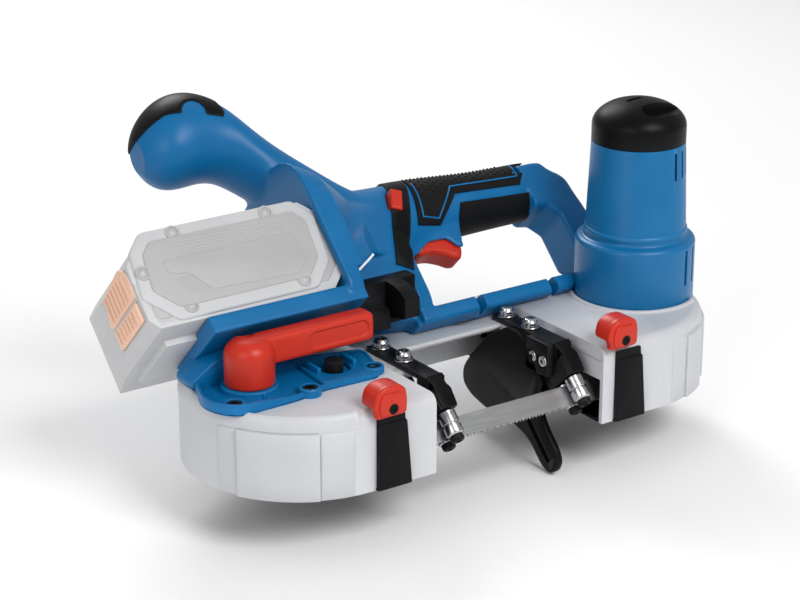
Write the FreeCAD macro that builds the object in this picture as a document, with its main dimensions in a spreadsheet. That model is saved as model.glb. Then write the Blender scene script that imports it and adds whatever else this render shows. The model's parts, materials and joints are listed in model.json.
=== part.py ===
import FreeCAD, Part
import Sketcher
import math
import os
from types import SimpleNamespace

Vector = FreeCAD.Vector
Rotation = FreeCAD.Rotation
Placement = FreeCAD.Placement

# Portable band saw, lying on its two wheel covers.
# Saw frame: X runs along the saw from the idler wheel to the motor, Y points to the back, Z up.
# Handle frame: the same origin turned about X by cut_tilt, so that its Y (called u) points from
# the blade's teeth to the handle, and its Z (called w) is square to the cut.

SIZES = [
    # Where the saw's own centre (between the wheels, level with the floor) lies in the part's frame
    ("datum_x", 9.8), ("datum_y", -40.1), ("datum_z", 30.6),
    ("cut_tilt", 45),
    ("running_gap", 0.3), ("shaft_fit", 0.03), ("seat_gap", 0.1),
    # Band wheels and blade
    ("wheel_span", 195), ("tyre_radius", 54.2), ("tyre_thickness", 1.5), ("wheel_width", 13),
    ("wheel_middle", 18), ("wheel_web", 4), ("rim_thickness", 5), ("hub_radius", 14),
    ("web_hole_radius", 8), ("web_hole_circle", 31),
    ("blade_width", 12.7), ("blade_thickness", 0.5), ("twist_start", 12.5), ("twist_end", 52),
    # Wheel covers
    ("cover_radius", 65.5), ("cover_wall", 2.5), ("cover_roof", 4), ("cover_top", 46),
    ("cover_floor", 1.5), ("cover_end", 56), ("cover_edge_round", 6), ("cover_slope", 60),
    ("cover_end_low", 27), ("cover_end_back", 40),
    # Main frame
    ("frame_thickness", 4), ("frame_front", 6), ("frame_lip", 2), ("frame_left_end", 35),
    ("frame_right_end", 40), ("frame_pad_front", 22), ("channel_front", 46.5),
    ("channel_back", 60), ("channel_sheet", 2.5), ("channel_front_low", 8), ("channel_back_low", 5),
    # Bottom guards
    ("guard_plate", 2), ("guard_wheel_gap", 1.3), ("guard_wall", 2),
    # Blade guides
    ("left_guide_x", 41), ("right_guide_x", 45), ("flange_width", 11), ("flange_thickness", 3),
    ("flange_back", 14), ("flange_front", 44), ("guide_post", 10), ("guide_post_low", 24),
    ("guide_lug_low", 17), ("guide_lug_high", 6), ("guide_lug_back", 40), ("guide_lug_front", 62),
    ("bracket_screw_back", 8), ("bracket_screw_front", 14), ("bracket_screw_radius", 2),
    ("bracket_head_radius", 4), ("bracket_head", 3.5), ("stop_lip", 2),
    ("roller_radius", 5), ("roller_length", 14.2), ("roller_bore", 2.1), ("roller_gap", 0.1),
    ("roller_end_gap", 0.3), ("roller_head_radius", 3.8), ("roller_head", 3.2),
    # Material stop
    ("stop_plate", 4), ("stop_low", 12), ("stop_high", 28), ("stop_back", 30), ("stop_near", 44),
    ("stop_corner", 14), ("stop_leg_width", 14), ("stop_leg_middle", 15), ("stop_leg_end", 55),
    ("stop_groove", 4), ("stop_groove_depth", 1.2), ("stop_ear_front", 42), ("stop_ear_back", 22.5),
    ("stop_ear_low", 26),
    # Idler base, carriage and tension lever
    ("base_thickness", 3.5), ("base_left", 163), ("base_right", 55), ("base_front", 38),
    ("base_back", 26), ("base_corner", 14), ("base_rim", 1.6), ("base_rim_height", 2),
    ("boss_radius", 6), ("boss_height", 5),
    ("screw_radius", 2), ("screw_head_radius", 3.8), ("screw_head", 2.6),
    ("base_screw_left", 152), ("base_screw_left_y", 22), ("base_screw_middle", 110),
    ("base_screw_middle_y", 28), ("base_screw_right", 66), ("base_screw_right_y", 21),
    ("base_screw_rear", 150), ("base_screw_rear_y", 14),
    ("bolt_x", 84), ("bolt_y", 11), ("bolt_flats", 10), ("bolt_head", 6), ("bolt_radius", 3),
    ("bolt_well_radius", 9), ("bolt_well_depth", 1.5),
    ("lever_x", 133), ("lever_y", 6), ("lever_seat_radius", 15.5), ("lever_seat_height", 4.6),
    ("lever_boss_radius", 13.5), ("lever_boss_height", 20), ("lever_boss_round", 6),
    ("lever_tip", 58), ("lever_arm_width", 12), ("lever_arm_low", 60), ("lever_arm_height", 16),
    ("lever_arm_round", 2.5), ("lever_panel_inset", 4), ("lever_panel_depth", 0.8),
    ("lever_panel_start", 100), ("cam_shaft_radius", 4), ("cam_radius", 8), ("cam_throw", 1.75),
    ("cam_thickness", 9), ("cam_clearance", 0.5),
    ("carriage_thickness", 10.5), ("carriage_right", 84), ("carriage_left", 149),
    ("carriage_width", 32), ("carriage_middle", 3), ("carriage_travel", 3.5), ("cam_window", 24),
    ("axle_radius", 5), ("axle_stud_radius", 4), ("axle_washer_radius", 8), ("axle_washer", 2),
    ("axle_head_radius", 8), ("axle_head", 2.5), ("idler_bearing_radius", 11), ("slot_gap", 0.4),
    # Guard latches
    ("latch_strap_width", 20), ("latch_strap", 1.7), ("latch_foot", 1.2), ("latch_foot_end", 53),
    ("left_latch_x", 84), ("right_latch_x", 74), ("latch_tab_width", 26), ("latch_tab_top", 59.5),
    ("latch_tab_low", 43), ("latch_tab_front", 71), ("latch_tab_back", 57), ("latch_tab_round", 4),
    ("left_tab_shift", 3.5), ("right_tab_shift", 8), ("latch_gap", 1.0),
    # Drive gear and motor
    ("motor_y", 4), ("gear_module", 1), ("gear_teeth", 50), ("pinion_teeth", 12),
    ("gear_low", 28), ("gear_thickness", 7.5), ("gear_bore", 6), ("gear_backlash", 0.12),
    ("drive_shaft_radius", 6), ("drive_flange_radius", 11), ("drive_flange", 3),
    ("drive_bearing_radius", 12), ("drive_bearing_height", 6), ("bearing_boss_wall", 3),
    ("motor_shaft_radius", 3), ("pinion_low", 27), ("pinion_length", 10),
    ("collar_radius", 34.6), ("collar_wall", 3), ("collar_top", 82), ("collar_shoulder", 4),
    ("can_radius", 27.8), ("can_wall", 2.5), ("can_top", 138), ("cap_top", 163), ("cap_round", 13),
    ("cap_wall", 2.2), ("vent_width", 2.4), ("vent_length", 22), ("vent_pitch", 5),
    ("stator_low", 88), ("stator_high", 130), ("stator_inner", 15.5), ("rotor_radius", 15),
    ("fan_low", 60), ("fan_height", 9), ("fan_radius", 24), ("fan_hub", 8), ("fan_blades", 9),
    ("fan_blade", 1.6), ("motor_bearing_radius", 9), ("motor_bearing_height", 6),
    ("bearing_plate", 5), ("can_flange", 4), ("can_vents", 4), ("can_vent_low", 119), ("can_vent_high", 135),
    ("vent_turn", -79), ("vent_step", 15), ("collar_vent_low", 57), ("collar_vent_shift", 7),
    # Handle housing, in the handle frame
    ("handle_middle", 15), ("handle_half", 15), ("bar_low", 43.6), ("bar_high", 53),
    ("bar_left", 12), ("leg_outer", 126), ("leg_thickness", 22), ("leg_shoulder", 84),
    ("arch_corner_in", 4), ("arch_corner_u", 111), ("arch_top_in", 19), ("arch_top_u", 130.5),
    ("arch_start", 88), ("arch_under", 98), ("arch_bend_in", 7), ("arch_bend_u", 96.5),
    ("leg_bend_u", 89), ("handle_edge_round", 3),
    ("cradle_left", 150), ("cradle_low", 56), ("cradle_high", 66), ("cradle_back", 28),
    ("cradle_front", 58), ("cradle_step_high", 60.4), ("cradle_step_back", 5), ("cradle_step_front", 10),
    ("housing_gap", 0.3), ("grip_skin", 1.1), ("knob_skin", 1.2), ("switch_low", 109.5), ("grip_cavity_low", 106),
    ("grip_cavity_high", 126), ("grip_cavity_half", 9), ("grip_cavity_left", 10),
    ("grip_cavity_right", 96), ("body_cavity_low", 78), ("body_cavity_left", 44),
    ("body_cavity_right", 8), ("body_cavity_high", 118), ("body_cavity_half", 16),
    ("collar_band_x", 3), ("collar_band_u", 107), ("collar_band_lean", 23), ("collar_band_width", 12),
    ("collar_band_height", 66), ("collar_band_skin", 1.2),
    ("housing_screw_radius", 1.6), ("housing_head_radius", 3.4), ("housing_head", 3),
    ("housing_screw_end", 24), ("cradle_rise", 4), ("cradle_right", 50), ("nose_low", 62), ("nose_top", 108),
    ("lamp_back", 36), ("lens_back", 39), ("lens_front", 48), ("shroud_half", 10.6),
    ("catch_left", 52), ("catch_right", 12), ("catch_high", 74), ("catch_back", 26), ("catch_room", 2.5),
    ("catch_face", 17), ("catch_top", 79), ("rest_face_y", 9.5), ("rest_low", 54), ("rest_top", 65.5), ("rest_right", 33.5),
    ("rest_slope", 2), ("finger_left", 31.5), ("finger_right", 22),
    # Trigger, lock-off button and electrics
    ("trigger_pivot_x", 12), ("trigger_pivot_u", 98), ("trigger_half", 8), ("trigger_gap", 0.6),
    ("trigger_slot_right", 42.6), ("trigger_slot_high", 107), ("trigger_slot_left", 8.5), ("trigger_pin_radius", 1.5),
    ("trigger_heel_round", 2), ("trigger_hollow_round", 12), ("trigger_tip_round", 3.5),
    ("button_length", 12.5), ("button_width", 7), ("button_shift", 1.5), ("button_rise", 11), ("button_round", 1.2),
    ("button_proud", 2.6), ("button_top", 20.9), ("button_stem", 8), ("button_gap", 0.4), ("button_travel", 2),
    ("switch_length", 30), ("switch_height", 14), ("board_height", 40),
    ("board_thickness", 4),
    # Battery
    ("battery_left", 181), ("battery_right", 52), ("battery_low", 66.4), ("battery_high", 120),
    ("battery_half", 40), ("battery_wall", 2.5), ("battery_split", 93),
    ("battery_top_left", 165), ("battery_top_right", 70), ("battery_nose_low", 84),
    ("battery_nose_high", 104), ("battery_bottom_left", 176), ("battery_heel", 72),
    ("battery_taper", 9), ("taper_start", 2), ("end_shift", 19),
    ("battery_foot_low", 63), ("battery_foot_half", 22),
    ("battery_foot_left", 168), ("battery_foot_right", 67), ("battery_slot_gap", 0.35),
    ("pocket_gap", 0.8), ("cell_radius", 10.4), ("cell_pitch", 21.2),
    ("cell_columns", 5), ("cell_rows", 2), ("cell_start", 159), ("cell_low", 82),
    ("panel_thickness", 1.2), ("panel_inset", 5), ("release_low", 74), ("release_high", 85),
    ("release_half", 17), ("release_depth", 6), ("release_proud", 1.6), ("release_travel", 2.5),
    ("end_pad_low", 88), ("end_pad_high", 104), ("end_pad_half", 18), ("end_pad", 1.5),
    ("contact_block_left", 64), ("contact_block_right", 56), ("contact_block_half", 11),
]

# Sections along X in the handle frame: x, lowest and highest u, and half the width across w
SECTIONS = {
    "grip": [(-15, 75, 137, 20), (5, 84, 136, 18), (25, 93, 135, 17), (45, 97, 133, 17),
             (75, 98, 131, 16), (108, 95, 129, 16)],
    "arm": [(-10, 97, 133.5, 18), (-30, 111, 152, 18), (-45, 124, 168, 19), (-60, 139, 186, 21),
            (-75, 156, 205, 24), (-90, 163, 214, 25), (-105, 162.5, 213, 25), (-118, 165, 205, 19.5),
            (-127, 173, 193, 8.5)],
}
# Neck between grip and battery: x, lowest and highest u, back and front w, and the corners' radius
NECK = [(-64, 58, 130, -31, 61, 10), (-50, 57, 129, -30, 60, 12), (-43, 56, 128, -21, 48, 14),
        (-20, 50, 126, -10, 38, 16), (0.5, 46, 126, -3, 32, 15)]
# Hood from the neck up to the arm, in the same columns
HOOD = [(-64, 96, 152, -26, 60.5, 25), (-50, 94, 145, -24, 58, 25), (-30, 90, 134, -10, 41, 18)]
# Outlines in the handle's side view: x and u of each corner
OUTLINES = {
    "top_pad": [(27, 150), (20.5, 129), (13.4, 101.2), (30, 99.8), (45, 115), (92, 112.6), (99, 125), (106, 150)],
    "low_pad": [(46.4, 109), (91, 107), (88, 91), (86, 80), (44.4, 80), (44.4, 103)],
    "knob_pad": [(-50, 190), (-72, 188), (-83, 192), (-92, 200), (-102, 194), (-118, 189), (-127, 176),
                 (-140, 176), (-140, 230), (-40, 230)],
    "shroud": [(2, 106), (3, 86), (10, 86.5), (19.4, 92), (31, 92), (36, 86), (40, 84.5), (44, 99), (44, 106)],
    "trigger_side": [(10, 101), (10, 81.5), (18.5, 79.6), (27, 74), (32, 74), (37.5, 80), (41.8, 93), (41.8, 101)],
    "lamp_facet": [(-30, 86), (-54, 73), (-54, 50), (-9, 50), (-9, 86)],
    "lamp_lens": [(-33.5, 82.8), (-47.5, 75.1), (-49, 77.7), (-35, 85.4)],
}
# Block that carries the lamp: its plan (x and w) and its side view (u and w)
NOSE_PLAN = [(-64, 20), (-64, 60), (-42, 53.5), (-37, 51), (-23, 38), (-23, 20)]
NOSE_SIDE = [(62, 20), (108, 20), (108, 40), (90, 54), (88, 62), (62, 62)]
# Finger of the lever's catch, in the saw frame: y and z of its side view
FINGER = [(22, 60), (12.6, 59), (-1.7, 62.4), (-1.7, 73.5), (3, 76.4), (9, 78.4), (17, 79), (22, 79)]
# Screws that clamp the two halves of the housing: x, u and the w of the head's underside
CLAMPS = [(115, 76, 4), (113, 108, 4), (-28, 128, -10), (-72, 178, -4)]
TABLES = [(name, ("x", "low", "high", "half"), rows) for name, rows in SECTIONS.items()]
TABLES += [(name, ("x", "low", "high", "back", "front", "corner"), rows) for name, rows in (("neck", NECK), ("hood", HOOD))]
TABLES += [("clamp", ("x", "u", "w"), CLAMPS), ("finger", ("y", "z"), FINGER)]
TABLES += [(name, ("x", "u"), rows) for name, rows in OUTLINES.items()]
TABLES += [("nose_plan", ("x", "w"), NOSE_PLAN), ("nose_side", ("u", "w"), NOSE_SIDE)]
for name, heads, rows in TABLES:
    for k, numbers in enumerate(rows, start=1):
        SIZES += [(f"{name}_{k}_{head}", number) for head, number in zip(heads, numbers)]


class Size:
    """A length with the sheet expression it comes from, so that sums of sizes stay bound."""

    def __init__(self, value, text):
        self.value = value
        self.text = text

    def __add__(self, other):
        other = size(other)
        return Size(self.value + other.value, f"({self.text} + {other.text})")

    def __sub__(self, other):
        other = size(other)
        return Size(self.value - other.value, f"({self.text} - {other.text})")

    def __mul__(self, other):
        other = size(other)
        return Size(self.value * other.value, f"({self.text} * {other.text})")

    def __truediv__(self, other):
        other = size(other)
        return Size(self.value / other.value, f"({self.text} / {other.text})")

    def __neg__(self):
        return Size(-self.value, f"(0 - {self.text})")

    def __radd__(self, other):
        return size(other) + self

    def __rsub__(self, other):
        return size(other) - self

    def __rmul__(self, other):
        return size(other) * self


def size(number):
    if isinstance(number, Size):
        return number
    return Size(float(number), repr(float(number)))


def root(number):
    return Size(math.sqrt(number.value), f"sqrt({number.text})")


doc = FreeCAD.newDocument("BandSaw")
sheet = doc.addObject("Spreadsheet::Sheet", "Sizes")
d = SimpleNamespace()
for row, (alias, number) in enumerate(SIZES, start=1):
    sheet.set(f"A{row}", alias)
    sheet.set(f"B{row}", str(number))
    sheet.setAlias(f"B{row}", alias)
    setattr(d, alias, Size(float(number), f"Sizes.{alias}"))
doc.recompute()

# Sizes that follow from the driving ones
half_span = d.wheel_span / 2
frame_top = d.cover_top - d.cover_roof
frame_low = frame_top - d.frame_thickness
cover_inner = d.cover_radius - d.cover_wall
wheel_low = d.wheel_middle - d.wheel_width / 2
blade_radius = d.tyre_radius + d.running_gap + d.blade_thickness / 2
blade_low = d.wheel_middle - d.blade_width / 2
guard_radius = d.tyre_radius + d.guard_wheel_gap + d.guard_wall
centre_distance = (d.gear_teeth + d.pinion_teeth) * d.gear_module / 2
motor_x = half_span + root(centre_distance * centre_distance - d.motor_y * d.motor_y)
motor_at = (motor_x, -d.motor_y)
lever_at = (-d.lever_x, -d.lever_y)
tilt_sine = Size(math.sin(math.radians(d.cut_tilt.value)), "sin(Sizes.cut_tilt * 1deg)")
tilt_cosine = Size(math.cos(math.radians(d.cut_tilt.value)), "cos(Sizes.cut_tilt * 1deg)")
lean_sine = Size(math.sin(math.radians(d.collar_band_lean.value)), "sin(Sizes.collar_band_lean * 1deg)")
lean_cosine = Size(math.cos(math.radians(d.collar_band_lean.value)), "cos(Sizes.collar_band_lean * 1deg)")
blade_w = d.wheel_middle * tilt_cosine + blade_radius * tilt_sine
blade_u = d.wheel_middle * tilt_sine - blade_radius * tilt_cosine
handle_front = d.handle_middle + d.handle_half
handle_back = d.handle_middle - d.handle_half
lever_low = d.cover_top + d.lever_seat_height + d.running_gap
latch_foot_top = d.cover_floor + d.latch_foot
leg_inner = d.leg_outer - d.leg_thickness
button_at = (d.collar_band_x + d.button_shift, d.collar_band_u + d.button_rise)
nodes = []
counter = {}


# Helpers

def unique(name):
    counter[name] = counter.get(name, 0) + 1
    return name if counter[name] == 1 else f"{name}_{counter[name]}"


def bind(item, prop, number):
    item.setExpression(prop, size(number).text)


def locate(item, point, rotation=None):
    point = [size(c) for c in point]
    base = Vector(*[c.value for c in point])
    item.Placement = Placement(base, rotation or Rotation())
    for axis, coordinate in zip("xyz", point):
        bind(item, f"Placement.Base.{axis}", coordinate)


def box(name, low, high):
    item = doc.addObject("Part::Box", unique(name))
    for prop, a, b in zip(("Length", "Width", "Height"), low, high):
        bind(item, prop, size(b) - size(a))
    locate(item, low)
    return item


AXIS_TURN = {"x": Rotation(Vector(0, 1, 0), 90), "y": Rotation(Vector(1, 0, 0), -90), "z": Rotation()}


def cylinder(name, radius, start, length, along="z"):
    item = doc.addObject("Part::Cylinder", unique(name))
    bind(item, "Radius", radius)
    bind(item, "Height", length)
    locate(item, start, AXIS_TURN[along])
    return item


def tube(name, outer, inner, start, length):
    return cut(name, cylinder(name + "_outer", outer, start, length),
               cylinder(name + "_bore", inner, start, length))


def fuse(name, *items):
    item = doc.addObject("Part::MultiFuse", unique(name))
    item.Shapes = list(items)
    item.Refine = True
    return item


def cut(name, base, *tools):
    tool = tools[0] if len(tools) == 1 else fuse(name + "_tools", *tools)
    item = doc.addObject("Part::Cut", unique(name))
    item.Base = base
    item.Tool = tool
    return item


def common(name, first, second):
    item = doc.addObject("Part::Common", unique(name))
    item.Base = first
    item.Tool = second
    return item


def group(name, *items):
    item = doc.addObject("Part::Compound", unique(name))
    item.Links = list(items)
    return item


def turned(item, angle):
    holder = group(item.Name + "_turned", item)
    holder.Placement = Placement(Vector(), Rotation(Vector(1, 0, 0), angle))
    return holder


def to_saw(item):
    return turned(item, d.cut_tilt.value)


def to_handle(item):
    return turned(item, -d.cut_tilt.value)


def shape_object(name, shape):
    item = doc.addObject("Part::Feature", unique(name))
    item.Shape = shape
    return item


PLANE_TURN = {"xy": Rotation(), "yz": Rotation(Vector(1, 1, 1), 120), "xz": Rotation(Vector(1, 0, 0), 90)}


def prism(name, points, low, high, plane="xy", corners=None):
    """A padded polygon; corners gives a rounding radius for chosen points, by their number."""
    body = doc.addObject("PartDesign::Body", unique(name))
    sketch = body.newObject("Sketcher::SketchObject", unique(name + "_outline"))
    base = [f for f in body.Origin.OriginFeatures if f.Role == "XY_Plane"][0]
    sketch.AttachmentSupport = [(base, "")]
    sketch.MapMode = "FlatFace"
    points = [(size(a), size(b)) for a, b in points]
    count = len(points)
    for i in range(count):
        ends = [Vector(points[k % count][0].value, points[k % count][1].value, 0) for k in (i, i + 1)]
        sketch.addGeometry(Part.LineSegment(*ends), False)
    for i in range(count):
        sketch.addConstraint(Sketcher.Constraint("Coincident", i, 2, (i + 1) % count, 1))
    for i, point in enumerate(points):
        for kind, coordinate in zip(("DistanceX", "DistanceY"), point):
            rule = sketch.addConstraint(Sketcher.Constraint(kind, -1, 1, i, 1, coordinate.value))
            sketch.setExpression(f"Constraints[{rule}]", coordinate.text)
    low, high = size(low), size(high)
    sketch.AttachmentOffset = Placement(Vector(0, 0, low.value), Rotation())
    bind(sketch, "AttachmentOffset.Base.z", low)
    pad = body.newObject("PartDesign::Pad", unique(name + "_pad"))
    pad.Profile = sketch
    bind(pad, "Length", high - low)
    doc.recompute()
    tip = pad
    for radius in sorted({r.value for r in (corners or {}).values()}):
        chosen = [points[i] for i, r in corners.items() if r.value == radius]
        text = [r for r in corners.values() if r.value == radius][0]
        edges = [f"Edge{k}" for k, e in enumerate(tip.Shape.Edges, start=1) if upright_at(e, chosen)]
        fillet = body.newObject("PartDesign::Fillet", unique(name + "_corner"))
        fillet.Base = (tip, edges)
        bind(fillet, "Radius", text)
        doc.recompute()
        tip = fillet
    body.Placement = Placement(Vector(), PLANE_TURN[plane])
    return body


def upright_at(edge, points):
    if abs(edge.tangentAt(edge.FirstParameter).z) < 0.999:
        return False
    at = edge.Vertexes[0].Point
    return any(abs(at.x - a.value) < 1e-4 and abs(at.y - b.value) < 1e-4 for a, b in points)


def rounded(name, base, radius, pick):
    """Rounds the edges of a shape that pick chooses."""
    doc.recompute()
    edges = [(k, radius.value, radius.value) for k, e in enumerate(base.Shape.Edges, start=1) if pick(e)]
    item = doc.addObject("Part::Fillet", unique(name))
    item.Base = base
    item.Edges = edges
    return item


def level(edge, height):
    return all(abs(v.Point.z - height.value) < 1e-4 for v in edge.Vertexes)


def node(name, item, frame="saw"):
    item.Label = name
    turn = Rotation(Vector(1, 0, 0), d.cut_tilt.value) if frame == "handle" else Rotation()
    inner = item.Placement
    item.Placement = Placement(Vector(d.datum_x.value, d.datum_y.value, d.datum_z.value),
                               turn.multiply(inner.Rotation))
    for axis in "xyz":
        bind(item, f"Placement.Base.{axis}", getattr(d, f"datum_{axis}"))
    nodes.append((name, item))


def row(table, k, *heads):
    return [getattr(d, f"{table}_{k}_{head}") for head in heads]


def outline(table):
    return [row(table, k, "x", "u") for k in range(1, len(OUTLINES[table]) + 1)]


def lofted(name, table, grow=0):
    """A smooth body through the upright ellipses of one of the section tables."""
    rings = []
    for k in range(1, len(SECTIONS[table]) + 1):
        x, low, high, half = row(table, k, "x", "low", "high", "half")
        ring = doc.addObject("Part::Ellipse", unique(name + "_section"))
        bind(ring, "MajorRadius", (high - low) / 2 + grow)
        bind(ring, "MinorRadius", half + grow)
        locate(ring, (x, (high + low) / 2, d.handle_middle), PLANE_TURN["yz"])
        rings.append(ring)
    item = doc.addObject("Part::Loft", unique(name))
    item.Sections = rings
    item.Solid = True
    return item


# Main frame: the plates that carry the wheels and the covered channel for the returning blade

def main_frame():
    sheet_fall = d.channel_sheet / tilt_sine
    slope_outer = d.cover_slope / tilt_sine - d.running_gap
    slope_inner = slope_outer - sheet_fall
    back_outer = d.channel_back + d.channel_sheet
    front_inner = d.channel_front + d.channel_sheet
    bridge = prism("bridge", [
        (d.frame_front, frame_top),
        (slope_outer - frame_top, frame_top),
        (back_outer, slope_outer - back_outer),
        (back_outer, d.channel_back_low),
        (d.channel_back, d.channel_back_low),
        (d.channel_back, slope_inner - d.channel_back),
        (front_inner, slope_inner - front_inner),
        (front_inner, d.channel_front_low),
        (d.channel_front, d.channel_front_low),
        (d.channel_front, slope_inner - d.channel_front),
        (slope_inner - frame_low, frame_low),
        (d.frame_front + d.frame_lip, frame_low),
        (d.frame_front, frame_low + d.frame_lip),
    ], -d.cover_end, d.cover_end, "yz")
    plate_radius = cover_inner - d.running_gap
    plates = []
    for side, end in ((-1, d.frame_left_end), (1, d.frame_right_end)):
        plates.append(half_disc("wheel_plate", side, plate_radius, frame_low, d.frame_thickness))
        outer = [side * half_span, side * d.cover_end]
        inner = [side * d.cover_end, side * end]
        for pair, front in ((outer, plate_radius), (inner, d.frame_pad_front)):
            low, high = sorted(pair, key=lambda c: c.value)
            plates.append(box("wheel_pad", (low, -front, frame_low), (high, d.channel_front, frame_top)))
    boss_radius = d.drive_bearing_radius + d.bearing_boss_wall
    plates.append(cylinder("bearing_boss", boss_radius, (half_span, 0, frame_low), d.drive_bearing_height))
    body = fuse("frame_body", bridge, *plates)
    slope = to_saw(box("frame_slope", (-d.base_left * 1.2, d.cover_slope - d.channel_sheet - d.running_gap,
                                       -d.cover_radius), (-d.cover_end, d.battery_high, d.cradle_step_back)))
    slot_half = d.axle_stud_radius + d.slot_gap
    axle_slot = box("axle_slot", (-half_span - slot_half, -slot_half, frame_low),
                    (-half_span + slot_half + d.carriage_travel, slot_half, frame_top))
    cam_hole = cylinder("cam_hole", d.cam_shaft_radius + d.shaft_fit, (*lever_at, frame_low), d.frame_thickness)
    bearing_hole = cylinder("bearing_hole", d.drive_bearing_radius, (half_span, 0, frame_low),
                            d.drive_bearing_height)
    motor_hole = cylinder("motor_hole", d.motor_bearing_radius, (*motor_at, frame_low), d.frame_thickness)
    holes = [cylinder("frame_screw_hole", d.screw_radius, (x, y, frame_low), d.frame_thickness)
             for x, y in base_screw_places()]
    holes += [cylinder("bracket_hole", d.bracket_screw_radius, (x, y, frame_low), d.frame_thickness)
              for x, y in bracket_screw_places()]
    holes.append(cylinder("bolt_hole", d.bolt_radius, (-d.bolt_x, -d.bolt_y, frame_low), d.frame_thickness))
    node("main_frame", cut("frame", body, slope, axle_slot, cam_hole, bearing_hole, motor_hole, *holes))


def base_screw_places():
    return [(-d.base_screw_left, -d.base_screw_left_y), (-d.base_screw_middle, -d.base_screw_middle_y),
            (-d.base_screw_right, -d.base_screw_right_y), (-d.base_screw_rear, d.base_screw_rear_y)]


def bracket_screw_places():
    return [(x, y) for x in (-d.left_guide_x, d.right_guide_x)
            for y in (d.bracket_screw_back, -d.bracket_screw_front)]


# Wheel covers: two cups open below, with the rear of the left one sloped away under the battery

def cover_form(name, side, radius, low, top):
    across = sorted((side * half_span, side * d.cover_end), key=lambda c: c.value)
    return fuse(name, half_disc(name + "_round", side, radius, low, top - low),
                box(name + "_straight", (across[0], -radius, low), (across[1], radius, top)))


def half_disc(name, side, radius, low, height):
    """A disc about a wheel's axis without the part of it that would stand in the throat."""
    throat = box(name + "_throat", (-d.cover_end, -2 * radius, low), (1 * d.cover_end, 2 * radius, low + height))
    return cut(name, cylinder(name + "_full", radius, (side * half_span, 0, low), height), throat)


def cover_cavity(name, side):
    # The cavity runs out through the open end beside the throat
    low = d.cover_floor
    across = sorted((side * half_span, side * d.frame_left_end), key=lambda c: c.value)
    return fuse(name, cylinder(name + "_round", cover_inner, (side * half_span, 0, low), frame_top - low),
                box(name + "_straight", (across[0], -cover_inner, low), (across[1], cover_inner, frame_top)))


def slope_tool(name, distance):
    return to_saw(box(name, (-d.base_left * 1.2, distance, -d.cover_radius),
                      (-d.frame_left_end, d.battery_high, d.cradle_step_back)))


def wheel_cover(name, side):
    outer = cover_form(name + "_outer", side, d.cover_radius, d.cover_floor, d.cover_top)
    end = side * d.cover_end
    outer = rounded(name + "_edge", outer, d.cover_edge_round,
                    lambda e: level(e, d.cover_top) and not all(abs(v.Point.x - end.value) < 1e-4 for v in e.Vertexes))
    cavity = cover_cavity(name + "_cavity", side)
    across = sorted((end, end + side * d.cover_wall), key=lambda c: c.value)
    end_wall = box(name + "_end_wall", (across[0], -cover_inner, d.cover_end_low),
                   (across[1], -d.cover_end_back, frame_low - d.running_gap))
    holes = [latch_room(name + "_latch_room", side)]
    if side < 0:
        outer = cut(name + "_sloped", outer, slope_tool("cover_slope_cut", d.cover_slope))
        cavity = cut(name + "_cavity_sloped", cavity,
                     slope_tool("cavity_slope_cut", d.cover_slope - d.cover_wall))
        holes += [cylinder("cover_screw_hole", d.screw_radius, (x, y, frame_top), d.cover_roof)
                  for x, y in base_screw_places()]
        holes.append(cylinder("cover_bolt_hole", d.bolt_radius, (-d.bolt_x, -d.bolt_y, frame_top), d.cover_roof))
        holes.append(cylinder("cover_cam_hole", d.cam_shaft_radius + d.running_gap, (*lever_at, frame_top),
                              d.cover_roof))
        reach = d.axle_washer_radius + d.slot_gap
        holes.append(box("washer_pocket", (-half_span - reach, -reach, frame_top),
                         (-half_span + reach + d.carriage_travel, reach, frame_top + d.axle_washer + d.slot_gap)))
    else:
        holes.append(cylinder("boss_pocket", d.drive_bearing_radius + d.bearing_boss_wall + d.seat_gap,
                              (half_span, 0, frame_top), frame_low + d.drive_bearing_height - frame_top + d.seat_gap))
        holes.append(cylinder("cover_motor_hole", d.motor_bearing_radius, (*motor_at, frame_top), d.cover_roof))
    cup = cut(name + "_cup", outer, cavity, *holes)
    node(name, fuse(name, cup, end_wall))


# Black guards that close the covers from below and wrap the wheels on the throat's side

def bottom_guard(name, side):
    top = d.cover_floor + d.guard_plate
    radius = cover_inner - d.running_gap
    middle = side * half_span + (d.carriage_travel if side < 0 else 0)
    across = sorted((side * half_span, side * d.cover_end), key=lambda c: c.value)
    plate = fuse(name + "_plate",
                 half_disc(name + "_round", side, radius, d.cover_floor, d.guard_plate),
                 box(name + "_straight", (across[0], -radius, d.cover_floor), (across[1], radius, top)),
                 cylinder(name + "_throat", guard_radius, (middle, 0, d.cover_floor), d.guard_plate))
    ring = tube(name + "_ring", guard_radius, guard_radius - d.guard_wall, (middle, 0, top - d.guard_plate),
                frame_low - d.seat_gap - d.cover_floor)
    reach = sorted((side * d.cover_end, 0 * half_span), key=lambda c: c.value)
    wall = common(name + "_wall", ring,
                  box(name + "_side", (reach[0], -guard_radius, d.cover_floor), (reach[1], guard_radius, frame_low)))
    body = cut(name, fuse(name + "_body", plate, wall), latch_room(name + "_latch_room", side))
    if side < 0:
        body = cut(name + "_cut", body, slope_tool("guard_slope_cut", d.cover_slope - d.cover_wall - d.running_gap))
    node(name, body)


# Blade guides: a bracket each side, with two bearing rollers that hold the twisted blade

def guide_centre(side):
    return -d.left_guide_x if side < 0 else 1 * d.right_guide_x


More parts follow.
